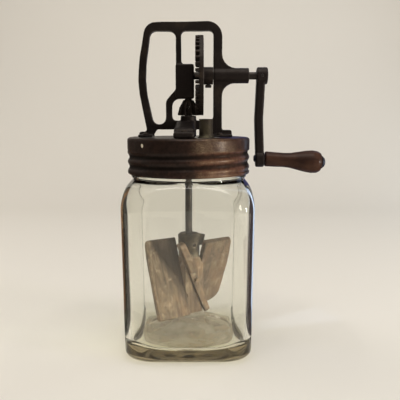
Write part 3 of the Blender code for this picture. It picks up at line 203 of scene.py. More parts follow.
def close_finish(material, shader_inputs, relief=None, depth=0.0):
    """Join the patterns to a Principled shader, with a bump of the given depth where there is relief."""
    tree = material.node_tree
    if relief is not None:
        bump = add_node(tree, "ShaderNodeBump", {}, {"Height": relief, "Distance": depth, "Strength": 1.0})
        shader_inputs = {**shader_inputs, "Normal": bump}
    shader = add_node(tree, "ShaderNodeBsdfPrincipled", {}, shader_inputs)
    add_node(tree, "ShaderNodeOutputMaterial", {}, {"Surface": shader})
    return material


def glass_finish():
    """Clear, faintly green glass, with a film of dried milk on its floor."""
    material, place = start_finish("jar_glass")
    tree = material.node_tree
    x, y, height = place.parts()
    radius = (x * x + y * y) ** 0.5
    smears = grain(place, 18.0, 5.0).step(0.45, 0.8)
    clear = add_node(tree, "ShaderNodeBsdfPrincipled", {}, {
        "Base Color": GLASS_TINT, "Roughness": 0.004 + smears * 0.02, "IOR": GLASS_IOR,
        "Transmission Weight": 1.0,
    })
    film = add_node(tree, "ShaderNodeBsdfPrincipled", {}, {"Base Color": MILK_HAZE, "Roughness": 0.7})
    on_floor = height.within(JAR_FLOOR - 0.0005, JAR_FLOOR + FILM_HEIGHT, FILM_SOFT)
    on_floor = on_floor * (1 - radius.step(FILM_RADIUS - FILM_SOFT, FILM_RADIUS))
    cloudy = on_floor * (0.46 + grain(place, 55.0, 6.0).step(0.35, 0.75) * 0.30)
    mixed = add_node(tree, "ShaderNodeMixShader", {}, {0: cloudy, 1: clear, 2: film})
    lit = add_node(tree, "ShaderNodeLightPath").output("Is Shadow Ray")
    open_way = add_node(tree, "ShaderNodeBsdfTransparent", {}, {"Color": GLASS_SHADE})
    mixed = add_node(tree, "ShaderNodeMixShader", {}, {0: lit, 1: mixed, 2: open_way})
    depth = add_node(tree, "ShaderNodeVolumeAbsorption", {},
                     {"Color": GLASS_DEPTH_TINT, "Density": GLASS_DEPTH_DENSITY})
    add_node(tree, "ShaderNodeOutputMaterial", {}, {"Surface": mixed, "Volume": depth})
    return material


def reach(half, corner, angle):
    """How far a rounded square's edge is from its centre in one direction."""
    across = abs(math.cos(angle))
    along = abs(math.sin(angle))
    flat = half / max(across, along)
    centre = half - corner
    if flat * min(across, along) <= centre:
        return flat
    both = across + along
    return centre * both + math.sqrt(max(0.0, (centre * both) ** 2 - 2 * centre ** 2 + corner ** 2))


def level_ring(half, corner, height, ripple=0.0):
    """One level of the jar, with its points crowded towards the corners."""
    points = []
    for index in range(AROUND):
        angle = 2 * math.pi * index / AROUND
        angle += CORNER_CROWDING * math.sin(4 * angle)
        direction = Vector((math.cos(angle), math.sin(angle), 0))
        point = direction * reach(half, corner, angle) + Vector((0, 0, height))
        if ripple:
            point += direction * ripple * noise.noise(point * RIPPLE_SCALE)
        points.append(point)
    return points


def close_build(build, name):
    """The mesh of what has been built."""
    mesh = bpy.data.meshes.new(name)
    build.to_mesh(mesh)
    build.free()
    return mesh


def skin_rows(name, rows, poles):
    """A skin over rows of equal count, closed at each end by a fan to its pole."""
    build = bmesh.new()
    made = [[build.verts.new(point) for point in row] for row in rows]
    count = len(made[0])
    for low, high in zip(made, made[1:]):
        for index in range(count):
            after = (index + 1) % count
            build.faces.new((low[index], low[after], high[after], high[index]))
    for row, pole in zip((made[0], made[-1]), poles):
        if pole is None:
            continue
        tip = build.verts.new(pole)
        for index in range(count):
            build.faces.new((row[index], row[(index + 1) % count], tip))
    bmesh.ops.recalc_face_normals(build, faces=build.faces)
    return close_build(build, name)


def put_in_scene(name, mesh, material):
    """An object for a mesh, smooth and in its finish, at the origin like the frame's own nodes."""
    mesh.materials.clear()
    mesh.materials.append(material)
    mesh.shade_smooth()
    piece = bpy.data.objects.new(name, mesh)
    bpy.context.scene.collection.objects.link(piece)
    return piece


def make_plain(piece):
    """Turn what a piece's modifiers make into its own mesh."""
    bpy.context.view_layer.update()
    graph = bpy.context.evaluated_depsgraph_get()
    mesh = bpy.data.meshes.new_from_object(piece.evaluated_get(graph))
    piece.modifiers.clear()
    piece.data = mesh
    mesh.shade_smooth()
    return piece


def hand_over(piece, body, slot, *nodes):
    """Let a finished piece ride on its body in place of the nodes that it dresses."""
    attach(piece, body)
    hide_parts(*nodes)


def spaced(low, high, steps):
    return [low + (high - low) * index / steps for index in range(steps + 1)]


def quarter_curve(steps):
    """Pairs of shares along a quarter round: how far out, and how far up."""
    angles = spaced(0, math.pi / 2, steps)
    return [(math.sin(angle), 1 - math.cos(angle)) for angle in angles]


def shoulder_curve(steps):
    """Pairs of shares up the jar's shoulder: a round brow that a hollow fillet joins to the neck."""
    brow = [(math.cos(angle), math.sin(angle)) for angle in spaced(0, BROW_TURN, steps)]
    out, up = brow[-1]
    climb = 2 * out / math.tan(BROW_TURN)
    fillet = spaced(0, 1, SHORT_STEPS)[1:]
    return brow + [(out * (1 - share) ** 2, up + climb * share) for share in fillet]


def open_rule(name, inputs):
    """A geometry tree with named inputs of the given kinds, and the node that hands them on."""
    tree = bpy.data.node_groups.new(name, "GeometryNodeTree")
    for title, kind in {"Geometry": "Geometry", **inputs, "Finish": "Material"}.items():
        tree.interface.new_socket(title, in_out="INPUT", socket_type=f"NodeSocket{kind}")
    tree.interface.new_socket("Geometry", in_out="OUTPUT", socket_type="NodeSocketGeometry")
    return tree, add_node(tree, "NodeGroupInput")


def close_rule(given, geometry):
    """End a geometry tree in real mesh with its finish on it."""
    whole = add_node(given.tree, "GeometryNodeRealizeInstances", {}, {"Geometry": geometry})
    finished = add_node(given.tree, "GeometryNodeSetMaterial", {},
                        {"Geometry": whole, "Material": given.output("Finish")})
    add_node(given.tree, "NodeGroupOutput", {}, {"Geometry": finished})
    return given.tree


def thread_tree():
    """The rule of a screw thread: points near it move out on a bead, or in where a groove is rolled."""
    lengths = ("Pitch", "Start", "Low", "High", "Fade", "Bead", "Groove", "Inner Radius")
    tree, given = open_rule("screw_thread", dict.fromkeys(lengths, "Float"))
    x, y, z = add_node(tree, "GeometryNodeInputPosition").parts()
    outward = add_node(tree, "ShaderNodeCombineXYZ", {}, {"X": x, "Y": y})
    radius = add_node(tree, "ShaderNodeVectorMath", {"operation": "LENGTH"}, {0: outward}).output("Value")
    turn = x.maths("ARCTAN2", y, x) / (2 * math.pi)
    phase = (z - given.output("Start")) / given.output("Pitch") - turn + 0.5
    crest = phase.maths("COSINE", phase * (2 * math.pi)) * 0.5 + 0.5
    rise = (z - given.output("Low")) / given.output("Fade")
    fall = (given.output("High") - z) / given.output("Fade")
    lasting = rise.maths("MINIMUM", rise, fall).step(0.0, 1.0)
    outside = radius.maths("GREATER_THAN", radius, given.output("Inner Radius"))
    push = crest * crest * given.output("Bead") - (1 - crest) * given.output("Groove")
    unit = add_node(tree, "ShaderNodeVectorMath", {"operation": "NORMALIZE"}, {0: outward})
    offset = add_node(tree, "ShaderNodeVectorMath", {"operation": "SCALE"},
                      {0: unit, "Scale": push * lasting * outside})
    noted = add_node(tree, "GeometryNodeStoreNamedAttribute", {"data_type": "FLOAT", "domain": "POINT"},
                     {"Geometry": given, "Name": "hollow", "Value": (1 - crest) * lasting})
    moved = add_node(tree, "GeometryNodeSetPosition", {}, {"Geometry": noted, "Offset": offset})
    return close_rule(given, moved)


def grow(base, rule, **inputs):
    """Give an object a geometry tree with its named inputs, and make the result its mesh."""
    modifier = base.modifiers.new(rule.name, "NODES")
    modifier.node_group = rule
    sockets = {item.name: item.identifier for item in rule.interface.items_tree if item.in_out == "INPUT"}
    for name, value in inputs.items():
        modifier[sockets[name.replace("_", " ").title()]] = value
    return make_plain(base)


def make_jar():
    rows = []
    for share in PUNT_SHARES:
        radius = PUNT_RADIUS * share
        rows.append(level_ring(radius, radius, PUNT_HEIGHT * (1 - share ** 4)))
    rows.append(level_ring(PUNT_RADIUS, PUNT_RADIUS * 0.8, PUNT_HEIGHT * PUNT_EDGE_SHARE))
    rows.append(level_ring(FOOT_HALF * 0.9, FOOT_CORNER, 0))
    heel_half = JAR_HALF - JAR_TAPER
    for out, up in quarter_curve(ROUND_STEPS):
        half = FOOT_HALF + (heel_half - FOOT_HALF) * out
        rows.append(level_ring(half, FOOT_CORNER + (JAR_CORNER - FOOT_CORNER) * out, HEEL_HEIGHT * up))
    for share in spaced(0, 1, OUTER_STEPS)[1:-1]:
        height = HEEL_HEIGHT + (BODY_TOP - HEEL_HEIGHT) * share
        rows.append(level_ring(heel_half + JAR_TAPER * share, JAR_CORNER, height))
    shoulder = shoulder_curve(SHOULDER_STEPS)
    for out, up in shoulder:
        half = NECK_RADIUS + (JAR_HALF - NECK_RADIUS) * out
        corner = NECK_RADIUS + (JAR_CORNER - NECK_RADIUS) * out
        rows.append(level_ring(half, corner, BODY_TOP + SHOULDER_HEIGHT * up))
    neck_bottom = BODY_TOP + SHOULDER_HEIGHT * shoulder[-1][1]
    for share in spaced(0, 1, SHORT_STEPS)[1:]:
        radius = NECK_RADIUS + NECK_RING_DEPTH * math.sin(math.pi * share)
        rows.append(level_ring(radius, radius, neck_bottom + NECK_RING_HEIGHT * share))
    neck_top = JAR_HIGH.z - RIM_ROUNDING
    for height in spaced(neck_bottom + NECK_RING_HEIGHT, neck_top, NECK_STEPS)[1:]:
        rows.append(level_ring(NECK_RADIUS, NECK_RADIUS, height))
    mouth = NECK_RADIUS - JAR_WALL
    rim_middle = (NECK_RADIUS + mouth) / 2
    for angle in spaced(0, math.pi, SHORT_STEPS)[1:-1]:
        radius = rim_middle + math.cos(angle) * JAR_WALL / 2
        rows.append(level_ring(radius, radius, JAR_HIGH.z - RIM_ROUNDING * (1 - math.sin(angle))))
    for height in spaced(neck_top, neck_bottom, MOUTH_STEPS)[:-1]:
        rows.append(level_ring(mouth, mouth, height))
    inner_half = JAR_HALF - JAR_WALL
    for out, up in reversed(shoulder):
        half = mouth + (inner_half - mouth) * out
        corner = mouth + (INNER_CORNER - mouth) * out
        rows.append(level_ring(half, corner, BODY_TOP + SHOULDER_HEIGHT * up, RIPPLE_DEPTH * out))
    inner_heel = heel_half - JAR_WALL
    floor_edge = JAR_FLOOR + FLOOR_FILLET
    for share in reversed(spaced(0, 1, INNER_STEPS)[1:-1]):
        height = floor_edge + (BODY_TOP - floor_edge) * share
        rows.append(level_ring(inner_heel + JAR_TAPER * share, INNER_CORNER, height, RIPPLE_DEPTH))
    for out, up in reversed(quarter_curve(ROUND_STEPS)):
        half = FLOOR_RADIUS + (inner_heel - FLOOR_RADIUS) * out
        corner = FLOOR_RADIUS + (INNER_CORNER - FLOOR_RADIUS) * out
        rows.append(level_ring(half, corner, JAR_FLOOR + FLOOR_FILLET * up, RIPPLE_DEPTH * out))
    for share in reversed(spaced(0, 1, INNER_STEPS)[1:-1]):
        radius = FLOOR_RADIUS * share
        swell = 0.5 + 0.5 * math.cos(math.pi * min(1.0, radius / FLOOR_DOME_RADIUS))
        moat = math.exp(-((radius - MOAT_RADIUS) / MOAT_WIDTH) ** 2)
        height = JAR_FLOOR + FLOOR_DOME_HEIGHT * swell - MOAT_DEPTH * moat
        rows.append(level_ring(radius, radius, height))
    poles = ((0, 0, PUNT_HEIGHT), (0, 0, JAR_FLOOR + FLOOR_DOME_HEIGHT))
    glass = glass_finish()
    jar = put_in_scene("glass_jar", skin_rows("glass_jar", rows, poles), glass)
    grow(jar, thread_tree(), pitch=THREAD_PITCH, start=THREAD_START, low=JAR_THREAD_LOW,
         high=JAR_THREAD_TOP, fade=THREAD_FADE, bead=JAR_THREAD_HEIGHT, groove=0.0,
         inner_radius=NECK_RADIUS - JAR_WALL / 2, finish=glass)
    hand_over(jar, "jar", "jar_glass", "jar")


make_jar()


# The lid is a pressed tin cap, once lacquered dark brown and now worn and rusted. Its screw thread is rolled
# into its skirt, its top edge is round, and its lower edge is turned back on itself.
LID_RADIUS = LID_HIGH.x
LID_BAND = 0.0125
LID_GROOVE = 0.0019
LID_EDGE = 0.0030
LID_TIN = 0.0008
LID_PANEL_RADIUS = 0.0605
LID_PANEL_DROP = 0.0005
LID_CURL = 0.0024
LID_HEM = 0.0010
CURL_TUCK_SHARE = 0.6
PANEL_STEPS = 14
EDGE_STEPS = 6
SKIRT_STEPS = 80
DENT_DEPTH = 0.00035
DENT_SCALE = 28.0
LACQUER_DARK = (0.0160, 0.0075, 0.0055, 1.0)
LACQUER_BROWN = (0.085, 0.034, 0.018, 1.0)
# Near black for dirt and fine marks, and for painted shade in the grooves.
GROOVE_DIRT_AND_SHADE = (0.0030, 0.0020, 0.0016, 1.0)
LACQUER_SHEEN = 0.15
RUST_ORANGE = (0.150, 0.075, 0.036, 1.0)
LACQUER_TINT = (1.0, 0.82, 0.66, 1.0)
BARE_TIN_HIGHLIGHT = (0.38, 0.27, 0.165, 1.0)
CREAM_FLECK = (0.68, 0.60, 0.46, 1.0)
FLECK_ANGLE = math.radians(-43.5)
FLECK_HEIGHT = 0.2245
FLECK_RADIUS = 0.0015
FLECK_SOFT = 0.0002
FLECK_RAGGED = 0.0022
SPECK_SCALE = 1050.0
LID_RELIEF = 0.00035
# The worn patch is set where the window lamp's highlight falls on the band, as a painted highlight.
WORN_HIGHLIGHT_FROM = math.radians(18)
WORN_HIGHLIGHT_TO = math.radians(34)
WORN_HIGHLIGHT_SOFT = math.radians(18)
SHEEN_FROM = math.radians(24)
SHEEN_TO = math.radians(36)
SOUND_FROM = math.radians(57)
SOUND_TO = math.radians(68)


def tin_finish():
    """Dark lacquer worn to brown and rust, rubbed down to bare tin on the front right, with painted shade in
    its grooves and painted light on its right.
    """
    material, place = start_finish("lid_rusted_tin")
    tree = material.node_tree
    x, y, z = place.parts()
    azimuth = x.maths("ARCTAN2", x, 0 - y)
    edge = add_node(tree, "ShaderNodeNewGeometry").output("Pointiness").step(0.50, 0.56)
    hollow = add_node(tree, "ShaderNodeAttribute", {"attribute_name": "hollow"}).output("Fac")
    cloud = grain(place, 32.0, 8.0, 0.65)
    fine = grain(place, 330.0, 6.0, 0.7)
    pits = grain(place, 2600.0, 2.0, 0.6)
    patches = grain(place, 85.0, 2.0, 0.5)
    sound = azimuth.step(SOUND_FROM, SOUND_TO)
    # Towards the right, where the window lamp falls, the lid is painted browner and rustier and its grooves
    # paler: wear, and a painted lit side.
    right = x.step(-0.02, 0.05) * (1 - sound)
    band = (z - (LID_HIGH.z - LID_BAND)).step(-0.002, 0.001)
    brown = (cloud * 0.9 + right * 0.55).step(0.45, 0.95) * (1 - band * 0.7)
    rust = (grain(place, 120.0, 8.0, 0.75) + edge * 0.3).step(0.52, 0.70)
    rust = rust * (0.15 + right * 0.5) * (1 - band * 0.6)
    # Bare tin rubbed through the lacquer, in a patch that is also a painted highlight.
    worn_and_highlight_zone = azimuth.within(WORN_HIGHLIGHT_FROM, WORN_HIGHLIGHT_TO, WORN_HIGHLIGHT_SOFT) * (1 - hollow).step(0.6, 1.0)
    dulled = band * azimuth.step(SHEEN_FROM, SHEEN_TO) * (1 - sound)
    dots = add_node(tree, "ShaderNodeTexVoronoi", {}, {"Vector": place, "Scale": SPECK_SCALE})
    specks = 1 - dots.step(0.22, 0.48)
    thin = (pits * 0.5 + patches * 0.7 + cloud * 0.3).step(0.55, 0.90)
    rubbed = worn_and_highlight_zone * thin * (0.22 + specks * 0.78)
    colour = blend_colours(brown, LACQUER_DARK, LACQUER_BROWN)
    colour = blend_colours(rust, colour, RUST_ORANGE)
    # Dark in the rolled grooves: dirt, and painted shade in the hollows, kept lighter towards the lit right
    # side.
    groove_dirt_and_shade = (hollow + (cloud - 0.5) * 0.6 + (fine - 0.5) * 0.4).step(0.35, 1.0) * (1 - right * 0.3)
    colour = blend_colours(fine.step(0.42, 0.66) * 0.6 * (1 - worn_and_highlight_zone * 0.6), colour, GROOVE_DIRT_AND_SHADE)
    colour = blend_colours(groove_dirt_and_shade * 0.95, colour, GROOVE_DIRT_AND_SHADE)
    # Pale bare tin in the worn patch: wear, and a painted highlight.
    colour = blend_colours(rubbed * 0.75, colour, BARE_TIN_HIGHLIGHT)
    aside = (azimuth - FLECK_ANGLE) * LID_RADIUS
    above = z - FLECK_HEIGHT
    spread = (aside * aside + above * above * 0.45) ** 0.5
    spread = spread + (grain(place, 420.0) - 0.5) * FLECK_RAGGED
    chip = 1 - spread.step(FLECK_RADIUS - FLECK_SOFT, FLECK_RADIUS + FLECK_SOFT)
    colour = blend_colours(chip, colour, CREAM_FLECK)
    relief = fine * 0.4 + pits * 0.15 + cloud * 0.5 + rust * 0.35
    coat = (0.10 + pits.step(0.35, 0.75) * 0.22 + sound * 0.3) * (1 - groove_dirt_and_shade) * (1 - dulled * 0.75)
    return close_finish(material, {
        "Base Color": colour, "Metallic": rubbed * 0.5,
        "Roughness": 0.40 + fine * 0.22 + groove_dirt_and_shade * 0.25,
        "Specular IOR Level": LACQUER_SHEEN, "Specular Tint": LACQUER_TINT,
        "Coat Weight": coat, "Coat Roughness": 0.26,
    }, relief, LID_RELIEF)


def turned_rows(profile, centre=(0.0, 0.0)):
    """Level circles for a profile of (radius, height), about an upright line."""
    rows = []
    for radius, height in profile:
        rows.append([
            Vector((centre[0] + radius * math.cos(angle), centre[1] + radius * math.sin(angle), height))
            for angle in (2 * math.pi * index / AROUND for index in range(AROUND))
        ])
    return rows


def dent(mesh, depth, scale):
    """Push a mesh in and out a little, as use and handling leave it."""
    for vertex, normal in zip(mesh.vertices, [vertex.normal.copy() for vertex in mesh.vertices]):
        vertex.co += normal * depth * noise.noise(vertex.co * scale)


def make_lid():
    top = LID_HIGH.z
    bottom = LID_LOW.z
    profile = [(LID_PANEL_RADIUS * share, top - LID_PANEL_DROP) for share in spaced(0.07, 0.96, PANEL_STEPS)]
    profile += [(LID_PANEL_RADIUS * 0.985, top - LID_PANEL_DROP * 0.6), (LID_PANEL_RADIUS, top)]
    profile.append((LID_RADIUS - LID_EDGE, top))
    for out, up in quarter_curve(EDGE_STEPS)[1:]:
        profile.append((LID_RADIUS - LID_EDGE * (1 - out), top - LID_EDGE * up))
    for height in spaced(top - LID_EDGE, bottom + LID_CURL, SKIRT_STEPS)[1:]:
        profile.append((LID_RADIUS, height))
    for angle in spaced(0, math.pi / 2, SHORT_STEPS)[1:]:
        tuck = LID_CURL * (1 - math.cos(angle)) * CURL_TUCK_SHARE
        profile.append((LID_RADIUS - tuck, bottom + LID_CURL * (1 - math.sin(angle))))
    profile.append((LID_RADIUS - LID_CURL * CURL_TUCK_SHARE - LID_HEM, bottom + LID_HEM * 0.3))
    tin = tin_finish()
    pole = (0, 0, top - LID_PANEL_DROP)
    lid = put_in_scene("rolled_lid", skin_rows("rolled_lid", turned_rows(profile), (pole, None)), tin)
    grow(lid, bpy.data.node_groups["screw_thread"], pitch=THREAD_PITCH, start=THREAD_START,
         low=THREAD_START, high=top - LID_BAND, fade=THREAD_FADE, bead=0.0, groove=LID_GROOVE,
         inner_radius=NECK_RADIUS, finish=tin)
    dent(lid.data, DENT_DEPTH, DENT_SCALE)
    wall = lid.modifiers.new("tin_thickness", "SOLIDIFY")
    wall.thickness = LID_TIN
    wall.offset = -1
    make_plain(lid)
    hand_over(lid, "lid", "lid_rusted_tin", "lid")


make_lid()


# The vent is a short tube of rolled tin with a lapped seam. It is soldered on the lid, and the solder has run
# out to one side. A pierced disc inside it keeps dirt out of the cream.
VENT_LOW, VENT_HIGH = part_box("vent_tube")
VENT_CENTRE = (VENT_LOW + VENT_HIGH) / 2
VENT_FLANGE = (VENT_HIGH.x - VENT_LOW.x) / 2
VENT_RADIUS = VENT_FLANGE - 0.0016
VENT_WALL = 0.0007
VENT_LIP = 0.0005
LIP_HEIGHT = 0.0006
FLANGE_THICKNESS = 0.0006
VENT_STEPS = 16
BORE_STEPS = 10
VENT_CLEAR = 0.001
VENT_DENT = 0.0002
VENT_DENT_SCALE = 160.0
SOLDER_HEIGHT = 0.0034
SEAM_ANGLE = math.radians(-118)
SEAM_HEIGHT = 0.0005
SEAM_WIDTH = 0.5
JOIN_REACH = 0.00001
OLIVE_TIN = (0.044, 0.037, 0.020, 1.0)
DARK_TIN = (0.020, 0.016, 0.011, 1.0)
PALE_SOLDER = (0.12, 0.105, 0.065, 1.0)
VENT_RELIEF = 0.00012


def vent_finish():
    """Tarnished olive tin, darker in blotches, with paler solder at its foot."""
    material, place = start_finish("vent_dull_tin")
    height = place.parts()[2]
    blotch = grain(place, 110.0, 6.0, 0.65)
    fine = grain(place, 600.0, 4.0)
    solder = (1 - (height - VENT_LOW.z).step(0.001, SOLDER_HEIGHT * 1.6)) * blotch.step(0.35, 0.6)
    colour = blend_colours(blotch.step(0.4, 0.68), DARK_TIN, OLIVE_TIN)
    colour = blend_colours(solder * 0.8, colour, PALE_SOLDER)
    return close_finish(material, {
        "Base Color": colour, "Metallic": 0.15, "Roughness": 0.55 + blotch * 0.2,
        "Specular IOR Level": 0.3, "Specular Tint": LACQUER_TINT,
    }, blotch + fine * 0.4, VENT_RELIEF)


def open_build(mesh):
    """A mesh to work on, with its loose triangles joined."""
    build = bmesh.new()
    build.from_mesh(mesh)
    bmesh.ops.remove_doubles(build, verts=build.verts, dist=JOIN_REACH)
    return build


def refinish(node, material):
    """Give a node of the frame that stays in view a finish of its own."""
    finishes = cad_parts[node].data.materials
    finishes.clear()
    finishes.append(material)


def make_vent():
    bore = VENT_RADIUS - VENT_WALL
    foot = VENT_LOW.z
    top = VENT_HIGH.z
    flange_top = foot + FLANGE_THICKNESS
    profile = [(bore, foot), (VENT_FLANGE, foot), (VENT_FLANGE * 0.99, flange_top)]
    for out, up in quarter_curve(EDGE_STEPS):
        profile.append((VENT_FLANGE - (VENT_FLANGE - VENT_RADIUS) * out, flange_top + SOLDER_HEIGHT * up))
    wall = spaced(foot + SOLDER_HEIGHT + VENT_CLEAR, top - VENT_CLEAR, VENT_STEPS)
    profile += [(VENT_RADIUS, height) for height in wall]
    middle = VENT_RADIUS - VENT_WALL / 2
    for angle in spaced(0, math.pi, SHORT_STEPS):
        half_wall = VENT_WALL / 2 + VENT_LIP * math.sin(angle)
        height = top - LIP_HEIGHT + LIP_HEIGHT * math.sin(angle)
        profile.append((middle + half_wall * math.cos(angle), height))
    profile += [(bore, height) for height in spaced(top - VENT_CLEAR, foot, BORE_STEPS)[:-1]]
    rows = turned_rows(profile, (VENT_CENTRE.x, VENT_CENTRE.y))
    rows.append(rows[0])
    build = open_build(skin_rows("vent_rows", rows, (None, None)))
    bmesh.ops.recalc_face_normals(build, faces=build.faces)
    axis = Vector((VENT_CENTRE.x, VENT_CENTRE.y, 0))
    for vertex in build.verts:
        outward = Vector((vertex.co.x, vertex.co.y, 0)) - axis
        if outward.length < middle:
            continue
        lap = math.remainder(math.atan2(outward.y, outward.x) - SEAM_ANGLE, 2 * math.pi)
        if 0 < lap < SEAM_WIDTH:
            vertex.co += outward.normalized() * SEAM_HEIGHT * (1 - lap / SEAM_WIDTH)
    vent = put_in_scene("soldered_vent", close_build(build, "soldered_vent"), vent_finish())
    dent(vent.data, VENT_DENT, VENT_DENT_SCALE)
    hand_over(vent, "lid", "vent_dull_tin", "vent_tube")
    refinish("vent_strainer", vent.data.materials[0])


make_vent()


# The frame is one iron casting with soft edges and a skin roughened by the sand. It was painted black, and it
# has worn to brown on its edges and where hands hold it.
IRON_BLACK = (0.0115, 0.0088, 0.0082, 1.0)
IRON_BROWN = (0.034, 0.023, 0.015, 1.0)
IRON_EDGE = (0.060, 0.048, 0.040, 1.0)
IRON_SHEEN = 0.14
IRON_TINT = (1.0, 0.82, 0.68, 1.0)
SAND_DEPTH = 0.00010
SAND_SCALE = 420.0
FRAME_VOXEL = 0.00062
FRAME_PASSES = 9
IRON_RELIEF = 0.00020


def iron_finish(name, brownness, edge_wear, black=IRON_BLACK, brown_tone=IRON_BROWN):
    """Old black paint over cast iron, browned in clouds and rubbed along its edges."""
    material, place = start_finish(name)
    tree = material.node_tree
    edge = add_node(tree, "ShaderNodeNewGeometry").output("Pointiness").step(0.51, 0.60)
    cloud = grain(place, 45.0, 7.0, 0.65)
    fine = grain(place, 700.0, 5.0, 0.6)
    brown = (cloud + brownness).step(0.5, 0.85)
    rubbed = edge * edge_wear * grain(place, 140.0, 5.0).step(0.3, 0.65)
    colour = blend_colours(brown, black, brown_tone)
    colour = blend_colours(rubbed, colour, IRON_EDGE)
    return close_finish(material, {
        "Base Color": colour, "Roughness": 0.36 + cloud * 0.24 - rubbed * 0.08,
        "Specular IOR Level": IRON_SHEEN, "Specular Tint": IRON_TINT,
        "Coat Weight": cloud.step(0.42, 0.66) * 0.11 + rubbed * 0.2, "Coat Roughness": 0.3,
    }, fine + cloud * 0.6, IRON_RELIEF)


def soft_copy(node, name, voxel, passes, material, cutter=None):
    """A copy of a node's solid whose edges are melted round, as casting or wear leaves them."""
    build = open_build(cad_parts[node].data)
    piece = put_in_scene(name, close_build(build, name), material)
    if cutter:
        broken = piece.modifiers.new("broken_off", "BOOLEAN")
        broken.object = cutter
    melt = piece.modifiers.new("even_skin", "REMESH")
    melt.mode = "VOXEL"
    melt.voxel_size = voxel
    smooth = piece.modifiers.new("soft_edges", "SMOOTH")
    smooth.factor = 0.5
    smooth.iterations = passes
    make_plain(piece)
    piece.data.materials.clear()
    piece.data.materials.append(material)
    return piece


def make_frame():
    iron = iron_finish("frame_black_iron", 0.0, 0.8)
    casting = soft_copy("gear_frame", "cast_frame", FRAME_VOXEL, FRAME_PASSES, iron)
    dent(casting.data, SAND_DEPTH, SAND_SCALE)
    dent(casting.data, SAND_DEPTH * 2, SAND_SCALE / 6)
    hand_over(casting, "lid", "frame_black_iron", "gear_frame")


make_frame()


# Six soft iron rivets hold the feet on the lid. Their heads were hammered over, so each is a low dome with
# flats on it, and no two are turned alike.
RIVET_NODES = [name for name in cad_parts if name.startswith("rivet_")]
RIVET_HEAD = 0.0034
RIVET_RISE = 0.0020
RIVET_FLATS = 0.10
RIVET_FLAT_SCALE = 2.3
RIVET_SEED = 7


def copies_tree():
    """Puts a copy of one piece at each point, each turned its own way about the upright."""
    tree, given = open_rule("copies_at_points", {"Piece": "Object", "Seed": "Int"})
    piece = add_node(tree, "GeometryNodeObjectInfo", {}, {"Object": given.output("Piece")})
    points = add_node(tree, "GeometryNodeMeshToPoints", {}, {"Mesh": given})
    turn = add_node(tree, "FunctionNodeRandomValue", {"data_type": "FLOAT"},
                    {"Min": 0.0, "Max": 2 * math.pi, "Seed": given.output("Seed")})
    rotation = add_node(tree, "ShaderNodeCombineXYZ", {}, {"Z": turn})
    copies = add_node(tree, "GeometryNodeInstanceOnPoints", {},
                      {"Points": points, "Instance": piece.output("Geometry"), "Rotation": rotation})
    return close_rule(given, copies)


def make_rivets():
    build = bmesh.new()
    bmesh.ops.create_uvsphere(build, u_segments=28, v_segments=18, radius=1.0)
    for vertex in build.verts:
        x, y, z = vertex.co
        hammered = 1 + RIVET_FLATS * noise.noise(vertex.co * RIVET_FLAT_SCALE)
        vertex.co = Vector((x * RIVET_HEAD, y * RIVET_HEAD, max(z, -0.3) * RIVET_RISE)) * hammered
    iron = iron_finish("rivet_iron", 0.15, 1.0)
    head = put_in_scene("rivet_head", close_build(build, "rivet_head"), iron)
    places = []
    for name in RIVET_NODES:
        low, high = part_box(name)
        places.append(((low.x + high.x) / 2, (low.y + high.y) / 2, high.z - RIVET_RISE))
    points = bpy.data.meshes.new("hammered_rivets")
    points.from_pydata(places, [], [])
    rivets = put_in_scene("hammered_rivets", points, iron)
    grow(rivets, copies_tree(), piece=head, seed=RIVET_SEED, finish=iron)
    bpy.data.objects.remove(head)
    hand_over(rivets, "lid", "frame_black_iron", *RIVET_NODES)


make_rivets()


# The crank shaft and its gear: a steel bar that runs in the frame's long bearing, and a crown gear cast in
# iron and held on it by a square-headed screw. The teeth are greasy and dark, and the rim is brown.
STEEL_GREY = (0.066, 0.052, 0.040, 1.0)
STEEL_DARK = (0.028, 0.023, 0.020, 1.0)
# Near black: rust, and painted shade for the hole that the pin's end sits in.
PIN_RUST_AND_SHADE = (0.008, 0.005, 0.004, 1.0)
STEEL_EDGE = 0.0004
STEEL_RELIEF = 0.00005
SHARP_ANGLE = math.radians(38)
BEVEL_ANGLE = math.radians(40)
GEAR_VOXEL = 0.00048
PINION_VOXEL = GEAR_VOXEL * 0.7
CRISP_PASSES = 3
PIN_SUNK_SHARE = 0.24
PIN_FRONT = [vertex.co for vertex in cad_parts["hub_pin"].data.vertices if vertex.co.y < 0]
PIN_DIRECTION = sum((Vector((place.x, place.y, 0)) for place in PIN_FRONT), Vector()).normalized()


def steel_finish(name, light, dark):
    """Bare steel gone dark, with fine marks along it."""
    material, place = start_finish(name)
    blotch = grain(place, 90.0, 6.0, 0.65)
    marks = grain(place, 900.0, 3.0)
    colour = blend_colours(blotch.step(0.38, 0.7), dark, light)
    return close_finish(material, {
        "Base Color": colour, "Metallic": 0.6, "Roughness": 0.38 + blotch * 0.25,
    }, marks + blotch, STEEL_RELIEF)


def clean_copy(node, name, edge, material):
    """A copy of a turned node with its sharp edges broken and its round faces smooth."""
    build = open_build(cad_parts[node].data)
    bmesh.ops.dissolve_limit(build, angle_limit=0.002, verts=build.verts, edges=build.edges)
    piece = put_in_scene(name, close_build(build, name), material)
    broken = piece.modifiers.new("broken_edges", "BEVEL")
    broken.width = edge
    broken.segments = 3
    broken.limit_method = "ANGLE"
    broken.angle_limit = BEVEL_ANGLE
    make_plain(piece)
    piece.data.set_sharp_from_angle(angle=SHARP_ANGLE)
    return piece


def sink_pin(mesh):
    """Draw the hub pin's ends back into their hole."""
    for vertex in mesh.vertices:
        vertex.co -= PIN_DIRECTION * vertex.co.dot(PIN_DIRECTION) * PIN_SUNK_SHARE


